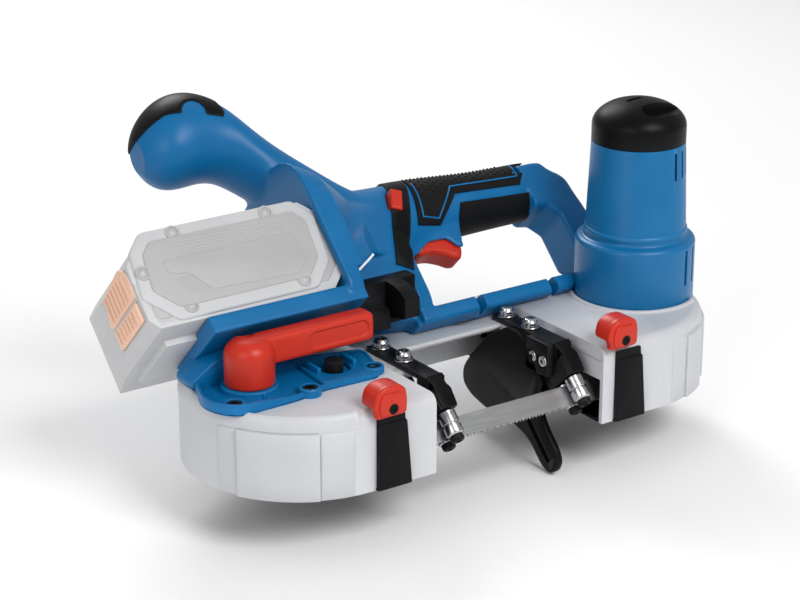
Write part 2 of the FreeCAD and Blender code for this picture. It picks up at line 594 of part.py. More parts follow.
def guide_bracket(name, side):
    x = guide_centre(side)
    left = x - d.flange_width / 2
    right = x + d.flange_width / 2
    top = frame_top + d.flange_thickness
    flange = box(name + "_flange", (left, -d.flange_front, frame_top), (right, d.flange_back, top))
    post = box(name + "_post", (left, -d.flange_front, d.guide_post_low), (right, d.guide_post - d.flange_front, top))
    lug = to_saw(box(name + "_lug", (left, -d.guide_lug_low, d.guide_lug_back),
                     (right, -d.guide_lug_high, d.guide_lug_front)))
    parts = [flange, post, lug]
    if side > 0:
        parts.append(box(name + "_lip", (left, -d.flange_front, d.guide_post_low),
                         (left + d.stop_lip, -d.stop_ear_back, top)))
    holes = [cylinder("flange_hole", d.bracket_screw_radius, (x, y, frame_top), d.flange_thickness)
             for y in (d.bracket_screw_back, -d.bracket_screw_front)]
    for w in roller_places():
        holes.append(to_saw(cylinder("lug_hole", d.roller_bore - d.shaft_fit, (x, -d.guide_lug_low, w),
                                     d.guide_lug_low - d.guide_lug_high, "y")))
    if side > 0:
        holes += [cylinder("ear_hole", d.screw_radius, (left, y, z), d.stop_lip, "x") for y, z in ear_screw_places()]
    node(name, cut(name, fuse(name + "_body", *parts), *holes))


def roller_places():
    reach = d.blade_thickness / 2 + d.roller_gap + d.roller_radius
    return [blade_w + reach, blade_w - reach]


def ear_screw_places():
    height = (d.stop_ear_low + frame_top) / 2
    return [(-(d.stop_ear_back + d.roller_radius), height), (-(d.stop_ear_front - d.roller_radius), height)]


def hex_head(name, flats, height, point):
    corner = flats / (2 * math.cos(math.pi / 6))
    ring = [(corner * math.cos(k * math.pi / 3), corner * math.sin(k * math.pi / 3)) for k in range(6)]
    points = [(point[0] + a, point[1] + b) for a, b in ring]
    return prism(name, points, point[2], point[2] + height)


def guide_fasteners():
    top = frame_top + d.flange_thickness
    screws = []
    for x, y in bracket_screw_places():
        shank = cylinder("bracket_shank", d.bracket_screw_radius, (x, y, frame_low), top - frame_low)
        head = cylinder("bracket_head", d.bracket_head_radius, (x, y, top), d.bracket_head)
        socket = hex_head("bracket_socket", d.bracket_head_radius, d.bracket_head / 2, (x, y, top + d.bracket_head / 2))
        screws.append(cut("bracket_screw", fuse("bracket_screw_body", shank, head), socket))
    left = d.right_guide_x - d.flange_width / 2
    for y, z in ear_screw_places():
        start = left - d.stop_plate + d.seat_gap
        shank = cylinder("ear_shank", d.screw_radius, (start, y, z), left + d.stop_lip - start, "x")
        head = cylinder("ear_head", d.screw_head_radius, (start, y, z), d.screw_head, "x")
        screws.append(fuse("ear_screw", shank, head))
    node("bracket_screws", group("bracket_screws", *screws))
    axles = []
    low = -(d.guide_lug_low + d.roller_length + 2 * d.roller_end_gap)
    for side in (-1, 1):
        for w in roller_places():
            x = guide_centre(side)
            shank = cylinder("roller_shank", d.roller_bore - d.shaft_fit, (x, low, w), -d.guide_lug_high - low, "y")
            head = cylinder("roller_head", d.roller_head_radius, (x, low - d.roller_head, w), d.roller_head, "y")
            axles.append(fuse("roller_screw", shank, head))
    node("roller_screws", group("roller_screws", *axles), "handle")


def guide_roller(name, side, w):
    low = -(d.guide_lug_low + d.roller_length + d.roller_end_gap)
    start = (guide_centre(side), low, w)
    body = cylinder(name + "_body", d.roller_radius, start, d.roller_length, "y")
    bore = cylinder(name + "_bore", d.roller_bore, start, d.roller_length, "y")
    node(name, cut(name, body, bore), "handle")


# Material stop: a broad plate beside the right guide, with a long grooved leg below the teeth

def material_stop():
    right = d.right_guide_x - d.flange_width / 2
    left = right - d.stop_plate
    plate = [(-d.stop_low, -d.stop_back), (d.stop_high, -d.stop_back),
             (d.stop_high, d.stop_near), (-d.stop_low, d.stop_near)]
    leg_low = d.stop_leg_middle - d.stop_leg_width / 2
    leg_high = d.stop_leg_middle + d.stop_leg_width / 2
    corners = {k: d.stop_corner for k in range(4)}
    form = prism("stop_form", plate, left, right, "yz", corners)
    leg = prism("stop_leg", [(-d.stop_leg_end, leg_low), (d.stop_low, leg_low),
                             (d.stop_low, leg_high), (-d.stop_leg_end, leg_high)], left, right, "yz",
                {0: d.stop_leg_width / 2.2, 3: d.stop_leg_width / 2.2})
    ear = box("stop_ear", (left, -d.stop_ear_front, d.stop_ear_low),
              (right, -d.stop_ear_back, frame_top + d.flange_thickness))
    groove = box("stop_groove", (left, -d.stop_leg_end + d.stop_leg_width / 2, d.stop_leg_middle - d.stop_groove / 2),
                 (left + d.stop_groove_depth, -d.stop_low, d.stop_leg_middle + d.stop_groove / 2))
    holes = [cylinder("stop_hole", d.screw_radius, (left, y, z), d.stop_plate, "x") for y, z in ear_screw_places()]
    holes += [cylinder("stop_pocket", d.screw_head_radius + d.seat_gap, (left, y, z), d.screw_head + d.seat_gap, "x")
              for y, z in ear_screw_places()]
    body = fuse("stop_body", to_saw(fuse("stop_lower", form, leg)), ear)
    node("material_stop", cut("stop", body, to_saw(groove), *holes))


# Blade: one endless band round both wheels, turned through cut_tilt between the guides

def saw_blade():
    radius = blade_radius.value
    half = d.blade_thickness.value / 2
    span = half_span.value
    low = blade_low.value
    width = d.blade_width.value
    middle = d.wheel_middle.value

    def slice_at(x, angle):
        along = Vector(0, math.sin(angle), math.cos(angle)) * (width / 2)
        across = Vector(0, math.cos(angle), -math.sin(angle)) * half
        centre = Vector(x, -radius, middle)
        ring = [centre + along + across, centre + along - across, centre - along - across, centre - along + across]
        return Part.makePolygon(ring + ring[:1])

    bands = []
    for side in (-1, 1):
        ring = Part.makeCylinder(radius + half, width, Vector(side * span, 0, low))
        ring = ring.cut(Part.makeCylinder(radius - half, width, Vector(side * span, 0, low)))
        reach = radius + half
        block = Part.makeBox(reach, 2 * reach, width, Vector(side * span - (reach if side < 0 else 0), -reach, low))
        bands.append(ring.common(block))
    bands.append(Part.makeBox(2 * span, 2 * half, width, Vector(-span, radius - half, low)))
    start = span - d.twist_start.value
    end = d.twist_end.value
    full = math.radians(d.cut_tilt.value)
    steps = 6
    turns = [k / steps for k in range(steps + 1)]
    for side in (-1, 1):
        bands.append(Part.makeBox(d.twist_start.value, 2 * half, width,
                                  Vector(-span if side < 0 else start, -radius - half, low)))
        places = [(side * (start + (end - start) * t), full * t) for t in turns]
        bands.append(Part.makeLoft([slice_at(x, a) for x, a in places], True, True))
    bands.append(Part.makeLoft([slice_at(-end, full), slice_at(end, full)], True, True))
    band = bands[0].multiFuse(bands[1:])
    node("saw_blade", shape_object("saw_blade", band))


# Band wheels

def band_wheel(name, tyre_name, side, bore):
    at = (side * half_span, 0, wheel_low)
    rim_radius = d.tyre_radius - d.tyre_thickness
    recess = (d.wheel_width - d.wheel_web) / 2
    disc = cylinder(name + "_disc", rim_radius, at, d.wheel_width)
    tools = []
    for low in (wheel_low, wheel_low + recess + d.wheel_web):
        tools.append(tube(name + "_recess", rim_radius - d.rim_thickness, d.hub_radius,
                          (side * half_span, 0, low), recess))
    for k in range(6):
        angle = k * math.pi / 3
        place = (side * half_span + d.web_hole_circle * math.cos(angle),
                 d.web_hole_circle * math.sin(angle), wheel_low)
        tools.append(cylinder(name + "_hole", d.web_hole_radius, place, d.wheel_width))
    tools.append(cylinder(name + "_bore", bore, at, d.wheel_width))
    node(name, cut(name, disc, *tools))
    node(tyre_name, tube(tyre_name, d.tyre_radius, rim_radius, at, d.wheel_width))


def idler_parts():
    band_wheel("idler_wheel", "idler_tyre", -1, d.idler_bearing_radius)
    at = (-half_span, 0, wheel_low)
    node("idler_bearing", tube("idler_bearing", d.idler_bearing_radius, d.axle_radius + d.shaft_fit, at, d.wheel_width))
    carriage_top = frame_low - d.seat_gap
    carriage_low = carriage_top - d.carriage_thickness
    shank = cylinder("axle_shank", d.axle_radius, (-half_span, 0, wheel_low - d.running_gap),
                     carriage_top - wheel_low + d.running_gap)
    head = cylinder("axle_head", d.axle_head_radius, (-half_span, 0, wheel_low - d.running_gap - d.axle_head), d.axle_head)
    stud = cylinder("axle_stud", d.axle_stud_radius, (-half_span, 0, carriage_top),
                    frame_top + d.seat_gap + d.axle_washer - carriage_top)
    washer = cylinder("axle_washer", d.axle_washer_radius, (-half_span, 0, frame_top + d.seat_gap), d.axle_washer)
    node("idler_axle", fuse("idler_axle", shank, head, stud, washer))
    half = d.carriage_width / 2
    block = box("carriage_block", (-d.carriage_left, -d.carriage_middle - half, carriage_low),
                (-d.carriage_right, half - d.carriage_middle, carriage_top))
    reach = d.cam_radius + d.cam_throw + d.cam_clearance
    window = box("cam_window_cut", (lever_at[0] - reach, lever_at[1] - reach, carriage_low),
                 (lever_at[0] - reach + d.cam_window, lever_at[1] + reach, carriage_top))
    bore = cylinder("carriage_bore", d.axle_radius, (-half_span, 0, carriage_low), d.carriage_thickness)
    node("idler_carriage", cut("carriage", block, window, bore))


def idler_base():
    low = d.cover_top
    top = low + d.base_thickness
    outline = [(-d.base_left, -d.base_front), (-d.base_right, -d.base_front),
               (-d.base_right, d.frame_front - d.frame_lip), (-d.base_left, d.base_back)]
    plate = prism("base_plate", outline, low, top, "xy", {0: d.base_corner * 1.6, 1: d.base_corner, 3: d.base_corner})
    rim_outer = prism("base_rim_outer", outline, low, top + d.base_rim_height, "xy",
                      {0: d.base_corner * 1.6, 1: d.base_corner, 3: d.base_corner})
    inset = [(-d.base_left + d.base_rim, d.base_rim - d.base_front), (-d.base_right - d.base_rim, d.base_rim - d.base_front),
             (-d.base_right - d.base_rim, d.frame_front - d.frame_lip - d.base_rim),
             (-d.base_left + d.base_rim, d.base_back - d.base_rim)]
    rim_inner = prism("base_rim_inner", inset, low, top + d.base_rim_height, "xy",
                      {0: d.base_corner * 1.5, 1: d.base_corner - d.base_rim, 3: d.base_corner - d.base_rim})
    rim = cut("base_rim", rim_outer, rim_inner)
    seat = cylinder("lever_seat", d.lever_seat_radius, (*lever_at, low), d.lever_seat_height)
    bosses = [cylinder("screw_boss", d.boss_radius, (x, y, low), d.boss_height) for x, y in base_screw_places()]
    holes = [cylinder("boss_hole", d.screw_radius, (x, y, low), d.boss_height) for x, y in base_screw_places()]
    holes.append(cylinder("seat_hole", d.cam_shaft_radius + d.shaft_fit, (*lever_at, low), d.lever_seat_height))
    holes.append(cylinder("bolt_well", d.bolt_well_radius, (-d.bolt_x, -d.bolt_y, top - d.bolt_well_depth),
                          d.bolt_well_depth + d.base_rim_height))
    holes.append(cylinder("base_bolt_hole", d.bolt_radius, (-d.bolt_x, -d.bolt_y, low), d.base_thickness))
    node("idler_base", cut("idler_base", fuse("base_body", plate, rim, seat, *bosses), *holes))
    screws = []
    for x, y in base_screw_places():
        head_low = low + d.boss_height
        shank = cylinder("base_shank", d.screw_radius, (x, y, frame_low), head_low - frame_low)
        head = cylinder("base_head", d.screw_head_radius, (x, y, head_low), d.screw_head)
        screws.append(fuse("base_screw", shank, head))
    node("base_screws", group("base_screws", *screws))
    head_low = top - d.bolt_well_depth
    bolt = fuse("bolt_body", hex_head("bolt_hex", d.bolt_flats, d.bolt_head, (-d.bolt_x, -d.bolt_y, head_low)),
                cylinder("bolt_shank", d.bolt_radius, (-d.bolt_x, -d.bolt_y, frame_low), head_low - frame_low))
    node("tracking_bolt", bolt)


# Blade tension lever with its cam shaft

def tension_lever():
    arm_top = d.lever_arm_low + d.lever_arm_height
    boss = rounded("lever_boss_round_top", cylinder("lever_boss", d.lever_boss_radius, (*lever_at, lever_low),
                                                    d.lever_boss_height), d.lever_boss_round,
                   lambda e: level(e, lever_low + d.lever_boss_height))
    back = lever_at[1] + d.lever_arm_width / 2
    front = lever_at[1] - d.lever_arm_width / 2
    arm = box("lever_arm", (lever_at[0], front, d.lever_arm_low), (-d.lever_tip, back, arm_top))
    arm = rounded("lever_arm_edges", arm, d.lever_arm_round, lambda e: e.Length > d.lever_arm_width.value / 2)
    panel = box("lever_panel", (-d.lever_panel_start, front, d.lever_arm_low + d.lever_panel_inset),
                (-d.lever_tip - d.lever_panel_inset, front + d.lever_panel_depth, arm_top - d.lever_panel_inset))
    bore = cylinder("lever_bore", d.cam_shaft_radius, (*lever_at, lever_low), d.lever_boss_height * 0.7)
    node("tension_lever", cut("tension_lever", fuse("lever_body", boss, arm), panel, bore))
    cam_top = frame_low - 2 * d.seat_gap
    cam = cylinder("cam_disc", d.cam_radius, (lever_at[0] - d.cam_throw, lever_at[1], cam_top - d.cam_thickness),
                   d.cam_thickness)
    shaft = cylinder("cam_shaft", d.cam_shaft_radius, (*lever_at, cam_top - d.cam_thickness),
                     lever_low + d.lever_boss_height * 0.7 - cam_top + d.cam_thickness)
    node("tension_cam", fuse("tension_cam", cam, shaft))


# Guard latches: a black strap hinged at the cover's bottom edge with a red finger tab on top

def latch_middle(side):
    return -d.left_latch_x if side < 0 else 1 * d.right_latch_x


def latch_room(name, side):
    """Recess under a cover and its guard for the foot of the latch."""
    half = d.latch_strap_width / 2 + d.running_gap
    low = d.cover_floor - d.latch_foot
    return box(name, (latch_middle(side) - half, -d.cover_radius - d.latch_gap, low),
               (latch_middle(side) + half, d.latch_foot - d.latch_foot_end, latch_foot_top + d.seat_gap))


def guard_latch(side):
    name = "left_latch" if side < 0 else "right_latch"
    x = latch_middle(side)
    shift = -d.left_tab_shift if side < 0 else -d.right_tab_shift
    wall = -d.cover_radius - d.running_gap
    left = x - d.latch_strap_width / 2
    right = x + d.latch_strap_width / 2
    strap = box(name + "_upright", (left, wall - d.latch_strap, d.cover_floor), (right, wall, d.latch_tab_low))
    foot = box(name + "_foot", (left, wall - d.latch_strap, d.cover_floor), (right, -d.latch_foot_end, latch_foot_top))
    curl = cylinder(name + "_curl", d.latch_foot / 2, (left, -d.latch_foot_end, d.cover_floor + d.latch_foot / 2),
                    right - left, "x")
    node(name + "_strap", fuse(name + "_strap", strap, foot, curl))
    tab_left = x + shift - d.latch_tab_width / 2
    tab_right = x + shift + d.latch_tab_width / 2
    block = box(name + "_block", (tab_left, -d.latch_tab_front, d.latch_tab_low),
                (tab_right, -d.latch_tab_back, d.latch_tab_top))
    block = rounded(name + "_edges", block, d.latch_tab_round,
                    lambda e: all(v.Point.z > d.latch_tab_top.value - 1e-4 for v in e.Vertexes)
                    or (all(v.Point.y < -d.latch_tab_front.value + 1e-4 for v in e.Vertexes)
                        and abs(e.tangentAt(e.FirstParameter).z) > 0.9))
    inside = box(name + "_inside", (tab_left, wall, d.latch_tab_low),
                 (tab_right, -d.latch_tab_back, d.cover_top + d.latch_gap))
    node(name + "_tab", cut(name + "_tab", block, inside))


# Gear drive

def gear_shape(teeth, bore, thickness, angle):
    """Involute spur gear about Z, with a tooth at the given angle."""
    module = d.gear_module.value
    pitch = module * teeth / 2
    base = pitch * math.cos(math.radians(20))
    rolled = math.tan(math.radians(20)) - math.radians(20)
    half_tooth = math.pi / (2 * teeth) - d.gear_backlash.value / pitch

    def flank(radius):
        pressure = math.acos(min(1.0, base / radius))
        return half_tooth + rolled - (math.tan(pressure) - pressure)

    radii = [pitch - 1.25 * module, max(base, pitch - 0.9 * module), pitch, pitch + 0.45 * module, pitch + 0.8 * module]
    points = []
    for k in range(teeth):
        middle = angle + 2 * math.pi * k / teeth
        for radius, side in [(r, -1) for r in radii] + [(r, 1) for r in reversed(radii)]:
            turn = middle + side * flank(max(radius, base))
            points.append(Vector(radius * math.cos(turn), radius * math.sin(turn), 0))
    wheel = Part.Face(Part.makePolygon(points + points[:1])).extrude(Vector(0, 0, thickness.value))
    return wheel.cut(Part.makeCylinder(bore.value, thickness.value)) if bore else wheel


def placed_gear(name, teeth, bore, thickness, angle, at, low):
    item = shape_object(name, gear_shape(int(teeth.value), bore, thickness, angle))
    locate(item, (*at, low))
    return item


def drive():
    at = (half_span, 0)
    band_wheel("drive_wheel", "drive_tyre", 1, d.drive_shaft_radius)
    toward = math.atan2(motor_at[1].value, (motor_x - half_span).value)
    gear = placed_gear("gear_form", d.gear_teeth, d.gear_bore, d.gear_thickness, toward, at, d.gear_low)
    node("drive_gear", group("drive_gear", gear))
    low = wheel_low - d.drive_flange
    bearing_top = frame_low + d.drive_bearing_height
    node("drive_shaft", fuse("drive_shaft", cylinder("drive_flange", d.drive_flange_radius, (*at, low), d.drive_flange),
                             cylinder("drive_journal", d.drive_shaft_radius, (*at, low), bearing_top - low)))
    pinion = placed_gear("pinion_form", d.pinion_teeth, None, d.pinion_length,
                         toward + math.pi + math.pi / d.pinion_teeth.value, motor_at, d.pinion_low)
    shaft_top = d.can_top + d.motor_bearing_height / 2
    shaft = cylinder("motor_shaft", d.motor_shaft_radius, (*motor_at, d.pinion_low), shaft_top - d.pinion_low)
    node("motor_pinion", fuse("motor_pinion", pinion, shaft))
    bearings = [tube("drive_bearing", d.drive_bearing_radius, d.drive_shaft_radius + d.shaft_fit, (*at, frame_low),
                     d.drive_bearing_height)]
    for z in (d.cover_top, d.can_top - d.bearing_plate):
        bearings.append(tube("motor_bearing", d.motor_bearing_radius, d.motor_shaft_radius + d.shaft_fit,
                             (*motor_at, z), d.motor_bearing_height))
    node("shaft_bearings", group("shaft_bearings", *bearings))


# Motor: a broad collar on the gear case, the can above it and a vented cap

def radial_slots(name, turn, start, end, low, high):
    """A row of upright slots that point at the motor's axis."""
    slots = []
    for k in range(int(d.can_vents.value)):
        angle = turn + k * d.vent_step.value
        cosine, sine = math.cos(math.radians(angle)), math.sin(math.radians(angle))
        slot = box(name, (0, 0, 0), (end - start, d.vent_width, high - low))
        locate(slot, (motor_x + start * cosine + d.vent_width / 2 * sine,
                      start * sine - d.vent_width / 2 * cosine - d.motor_y, low), Rotation(Vector(0, 0, 1), angle))
        slots.append(slot)
    return slots


def motor():
    ring_low = d.collar_top - d.collar_shoulder
    outer = cylinder("collar_outer", d.collar_radius, (*motor_at, d.cover_top), d.collar_top - d.cover_top)
    outer = rounded("collar_edge", outer, d.collar_shoulder / 1.2, lambda e: level(e, d.collar_top))
    inner = d.collar_radius - d.collar_wall
    floor = d.cover_top + d.bearing_plate
    collar_vents = radial_slots("collar_vent", d.vent_turn.value + d.collar_vent_shift.value, inner - d.collar_wall,
                                d.collar_radius + d.collar_wall, d.collar_vent_low, ring_low)
    node("gear_collar", cut("gear_collar", outer, *collar_vents,
                            cylinder("collar_cavity", inner, (*motor_at, floor), ring_low - floor),
                            cylinder("collar_mouth", d.can_radius + d.seat_gap, (*motor_at, ring_low), d.collar_shoulder),
                            cylinder("collar_seat", d.motor_bearing_radius, (*motor_at, d.cover_top), d.bearing_plate)))
    can = fuse("can_form", cylinder("can_body", d.can_radius, (*motor_at, ring_low - d.can_flange),
                                    d.can_top - ring_low + d.can_flange),
               cylinder("can_flange", inner - d.seat_gap, (*motor_at, ring_low - d.can_flange), d.can_flange))
    bore = d.can_radius - d.can_wall
    plate_low = d.can_top - d.bearing_plate
    tools = [cylinder("can_cavity", bore, (*motor_at, ring_low - d.can_flange), plate_low - ring_low + d.can_flange),
             cylinder("can_seat", d.motor_bearing_radius, (*motor_at, plate_low), d.bearing_plate)]
    for k in range(3):
        angle = 2 * math.pi * k / 3
        reach = (bore + d.motor_bearing_radius) / 2
        tools.append(cylinder("air_hole", d.motor_bearing_radius / 2,
                              (motor_x + reach * math.cos(angle), reach * math.sin(angle) - d.motor_y, plate_low),
                              d.bearing_plate))
    tools += radial_slots("can_vent", d.vent_turn.value, bore - d.can_wall / 2, d.can_radius + d.can_wall, d.can_vent_low,
                          d.can_vent_high)
    node("motor_housing", cut("motor_housing", can, *tools))
    cap = rounded("cap_form", cylinder("cap_body", d.can_radius, (*motor_at, d.can_top), d.cap_top - d.can_top),
                  d.cap_round, lambda e: level(e, d.cap_top))
    hollow = cylinder("cap_cavity", d.can_radius - d.cap_wall, (*motor_at, d.can_top),
                      d.cap_top - d.can_top - d.cap_round / 2)
    vents = []
    for k in range(4):
        y = motor_at[1] + (k - 1.5) * d.vent_pitch * 1.6 - d.vent_width / 2
        vents.append(box("cap_vent", (motor_x - d.vent_length / 2, y, d.cap_top - d.cap_round),
                         (motor_x + d.vent_length / 2, y + d.vent_width, d.cap_top)))
    node("motor_end_cap", cut("motor_end_cap", cap, hollow, *vents))
    height = d.stator_high - d.stator_low
    node("motor_stator", tube("motor_stator", bore, d.stator_inner, (*motor_at, d.stator_low), height))
    node("motor_rotor", tube("motor_rotor", d.rotor_radius, d.motor_shaft_radius, (*motor_at, d.stator_low), height))
    hub = cylinder("fan_hub", d.fan_hub, (*motor_at, d.fan_low), d.fan_height)
    plate = cylinder("fan_disc", d.fan_radius, (*motor_at, d.fan_low), d.fan_blade)
    blades = []
    for k in range(int(d.fan_blades.value)):
        blade = box("fan_blade", (0, -d.fan_blade / 2, 0), (d.fan_radius, d.fan_blade / 2, d.fan_height))
        locate(blade, (*motor_at, d.fan_low), Rotation(Vector(0, 0, 1), 360 * k / d.fan_blades.value))
        blades.append(blade)
    shaft = cylinder("fan_bore", d.motor_shaft_radius, (*motor_at, d.fan_low), d.fan_height)
    node("cooling_fan", cut("cooling_fan", fuse("fan_body", hub, plate, *blades), shaft))


# Housing: two clamped halves that make the handle loop, the battery cradle and the front arm

def rounded_section(name, x, low, high, back, front, corner):
    """A rectangle with round corners, square to x, as a sketch for a loft."""
    sketch = doc.addObject("Sketcher::SketchObject", unique(name))
    inner = [(low + corner, front - corner), (low + corner, back + corner),
             (high - corner, back + corner), (high - corner, front - corner)]
    starts = [(low, front - corner), (low + corner, back), (high, back + corner), (high - corner, front)]
    ends = [(low, back + corner), (high - corner, back), (high, front - corner), (low + corner, front)]
    for first, last in zip(starts, ends):
        flat = [Vector(first[0].value, first[1].value, 0), Vector(last[0].value, last[1].value, 0)]
        sketch.addGeometry(Part.LineSegment(*flat), False)
    turns = [(180, 270), (270, 360), (0, 90), (90, 180)]
    for k, middle in enumerate(inner[1:] + inner[:1]):
        ring = Part.Circle(Vector(middle[0].value, middle[1].value, 0), Vector(0, 0, 1), corner.value)
        sketch.addGeometry(Part.ArcOfCircle(ring, *[math.radians(t) for t in turns[k]]), False)
    for k, (first, last) in enumerate(zip(starts, ends)):
        for place, point in ((1, first), (2, last)):
            for kind, coordinate in zip(("DistanceX", "DistanceY"), point):
                rule = sketch.addConstraint(Sketcher.Constraint(kind, -1, 1, k, place, coordinate.value))
                sketch.setExpression(f"Constraints[{rule}]", coordinate.text)
    for k in range(4):
        sketch.addConstraint(Sketcher.Constraint("Coincident", 4 + k, 1, k, 2))
        sketch.addConstraint(Sketcher.Constraint("Coincident", 4 + k, 2, (k + 1) % 4, 1))
        rule = sketch.addConstraint(Sketcher.Constraint("Radius", 4 + k, corner.value))
        sketch.setExpression(f"Constraints[{rule}]", corner.text)
    locate(sketch, (x, 0, 0), PLANE_TURN["yz"])
    return sketch


def stepped_loft(name, table, count, grow=0):
    """A body through the rounded sections of the neck or its hood, straight from each to the next."""
    rings = []
    for k in range(1, count + 1):
        x, low, high, back, front, corner = row(table, k, "x", "low", "high", "back", "front", "corner")
        rings.append(rounded_section(name + "_section", x, low - grow, high + grow, back - grow, front + grow,
                                     corner + grow))
    item = doc.addObject("Part::Loft", unique(name))
    item.Sections = rings
    item.Solid = True
    item.Ruled = True
    return item


def neck_form(name, grow=0):
    return stepped_loft(name, "neck", len(NECK), grow)


def lamp_nose():
    """A faceted block on the neck's front that carries the lamp."""
    plan = prism("nose_plan", [row("nose_plan", k, "x", "w") for k in range(1, len(NOSE_PLAN) + 1)],
                 -d.nose_top, -d.nose_low, "xz")
    side = prism("nose_side", [row("nose_side", k, "u", "w") for k in range(1, len(NOSE_SIDE) + 1)],
                 -d.cradle_left, d.cradle_left, "yz")
    return common("lamp_nose", plan, side)


def loop_form(name):
    loop = prism(name, [(-d.bar_left, d.bar_low), (d.leg_outer, d.bar_low), (d.leg_outer, d.leg_shoulder),
                          (d.leg_outer - d.arch_corner_in, d.arch_corner_u),
                          (d.leg_outer - d.arch_top_in, d.arch_top_u),
                          (d.arch_start, d.arch_top_u), (d.arch_start, d.arch_under),
                          (leg_inner - d.arch_bend_in, d.arch_bend_u), (leg_inner, d.leg_bend_u),
                          (leg_inner, d.bar_high), (-d.bar_left, d.bar_high)], handle_back, handle_front)
    return rounded(name + "_edges", loop, d.handle_edge_round, loop_edge)


def housing_form():
    cradle = prism("cradle", [(d.cradle_low, d.cradle_front), (d.cradle_high, d.cradle_front),
                              (d.cradle_high, -d.cradle_back), (d.cradle_high - d.cradle_rise, -d.cradle_back),
                              (d.cradle_step_high, -d.cradle_back + d.cradle_rise * 2),
                              (d.cradle_step_high, d.cradle_step_back), (d.cradle_low, d.cradle_step_front)],
                   -d.cradle_left, -d.cradle_right, "yz")
    return fuse("housing_form", loop_form("loop"), lofted("grip_body", "grip"), neck_form("neck"), cradle, lofted("arm_body", "arm"),
                lamp_nose(), stepped_loft("hood", "hood", len(HOOD)))


def loop_edge(edge):
    points = [v.Point for v in edge.Vertexes]
    flat = abs(points[0].z - points[-1].z) < 1e-4
    at_end = any(all(abs(p.x - x) < 1e-4 for p in points) for x in (d.arch_start.value, -d.bar_left.value))
    return flat and not at_end


def clamp_tools(radius, head_radius, open_back):
    items = []
    for k in range(1, len(CLAMPS) + 1):
        x, u, w = row("clamp", k, "x", "u", "w")
        shank = cylinder("clamp_shank", radius, (x, u, w), d.housing_screw_end - w)
        head_low = w - (d.cradle_front if open_back else d.housing_head)
        items.append(fuse("clamp", shank, cylinder("clamp_head", head_radius, (x, u, head_low), w - head_low)))
    return items


def leaning_box(name, centre, half_x, half_u, low, high):
    """A box square to w that leans with the switch collar."""
    block = box(name, (0, 0, 0), (2 * half_x, 2 * half_u, high - low))
    corner = (centre[0] - half_x * lean_cosine - half_u * lean_sine,
              centre[1] + half_x * lean_sine - half_u * lean_cosine, low)
    locate(block, corner, Rotation(Vector(0, 0, 1), -d.collar_band_lean.value))
    return block


def housing():
    reach = d.battery_high * 2
    form = housing_form()
    middle = d.handle_middle
    low_block = box("floor_cut", (-d.cover_end, -reach, -reach), (d.cover_end, reach, frame_top + d.seat_gap))
    left_block = box("left_floor_cut", (-reach, -reach, -reach), (-d.cover_end, reach, d.cover_top + d.housing_gap))
    right_block = box("right_floor_cut", (d.cover_end, -reach, -reach), (reach, reach, d.cover_top + d.housing_gap))
    collar = cylinder("collar_clearance", d.collar_radius + d.housing_gap, (*motor_at, d.cover_top),
                      d.collar_top - d.cover_top + d.housing_gap)
    can = cylinder("can_clearance", d.can_radius + d.housing_gap, (*motor_at, d.cover_top), reach)
    saw_tools = [to_handle(fuse("saw_clearance", low_block, left_block, right_block, collar, can))]
    gap = d.pocket_gap
    right_end = battery_outline(-gap)[1:5]
    pocket = prism("battery_pocket", [(-reach, d.battery_low - gap), *right_end, (-reach, d.battery_high + gap)],
                   middle - d.battery_half - gap, middle + d.battery_half + gap)
    foot = d.battery_foot_half + d.battery_slot_gap
    slot = box("battery_slot", (-reach, d.battery_foot_low - d.running_gap, middle - foot),
               (-d.contact_block_right, d.battery_low, middle + foot))
    trigger_half = d.trigger_half + d.trigger_gap
    trigger_cut = trigger_box("trigger_slot")
    grip_cut = box("grip_cavity", (-d.grip_cavity_left, d.grip_cavity_low, middle - d.grip_cavity_half),
                   (d.grip_cavity_right, d.grip_cavity_high, middle + d.grip_cavity_half))
    body_cut = box("body_cavity", (-d.body_cavity_left, d.body_cavity_low, middle - d.body_cavity_half),
                   (-d.body_cavity_right, d.body_cavity_high, middle + d.body_cavity_half))
    catch_cut = catch_recess("catch_recess", size(0))
    pin = cylinder("trigger_pin_hole", d.trigger_pin_radius + d.shaft_fit,
                   (d.trigger_pivot_x, d.trigger_pivot_u, middle - trigger_half - d.trigger_pin_radius * 2),
                   2 * (trigger_half + d.trigger_pin_radius * 2))
    button_hole = button_form("button_hole", d.button_gap, middle, d.cradle_front)
    lamp_cut = prism("lamp_facet", outline("lamp_facet"), d.lamp_back, reach)
    lamp_hole = lamp_form("lamp_hole")
    shroud = prism("shroud", outline("shroud"), middle - d.shroud_half, middle + d.shroud_half)
    body = cut("housing_body", fuse("housing_whole", form, shroud), *saw_tools, pocket, slot, trigger_cut, grip_cut, body_cut, catch_cut, pin,
               button_hole, lamp_cut, lamp_hole, *clamp_tools(d.housing_screw_radius, d.housing_head_radius, True))
    front = box("front_side", (-reach, -reach, middle), (reach, reach, reach))
    rear = box("rear_side", (-reach, -reach, -reach), (reach, reach, middle))
    node("housing_front", common("housing_front", body, front), "handle")
    node("housing_rear", common("housing_rear", body, rear), "handle")
    screws = clamp_tools(d.housing_screw_radius, d.housing_head_radius, False)
    node("housing_screws", group("housing_screws", *screws), "handle")
    return form


def trigger_box(name):
    half = d.trigger_half + d.trigger_gap
    return box(name, (d.trigger_slot_left, d.cradle_low, d.handle_middle - half),
               (d.trigger_slot_right, d.trigger_slot_high, d.handle_middle + half))


def catch_recess(name, grow):
    """The room for the lever's catch in the front of the neck and the bar."""
    return box(name, (-d.catch_left - d.catch_room - grow, d.cradle_low / 2, d.catch_back - grow),
               (-d.catch_right + d.catch_room + grow, d.catch_high + grow, d.battery_high * 2))


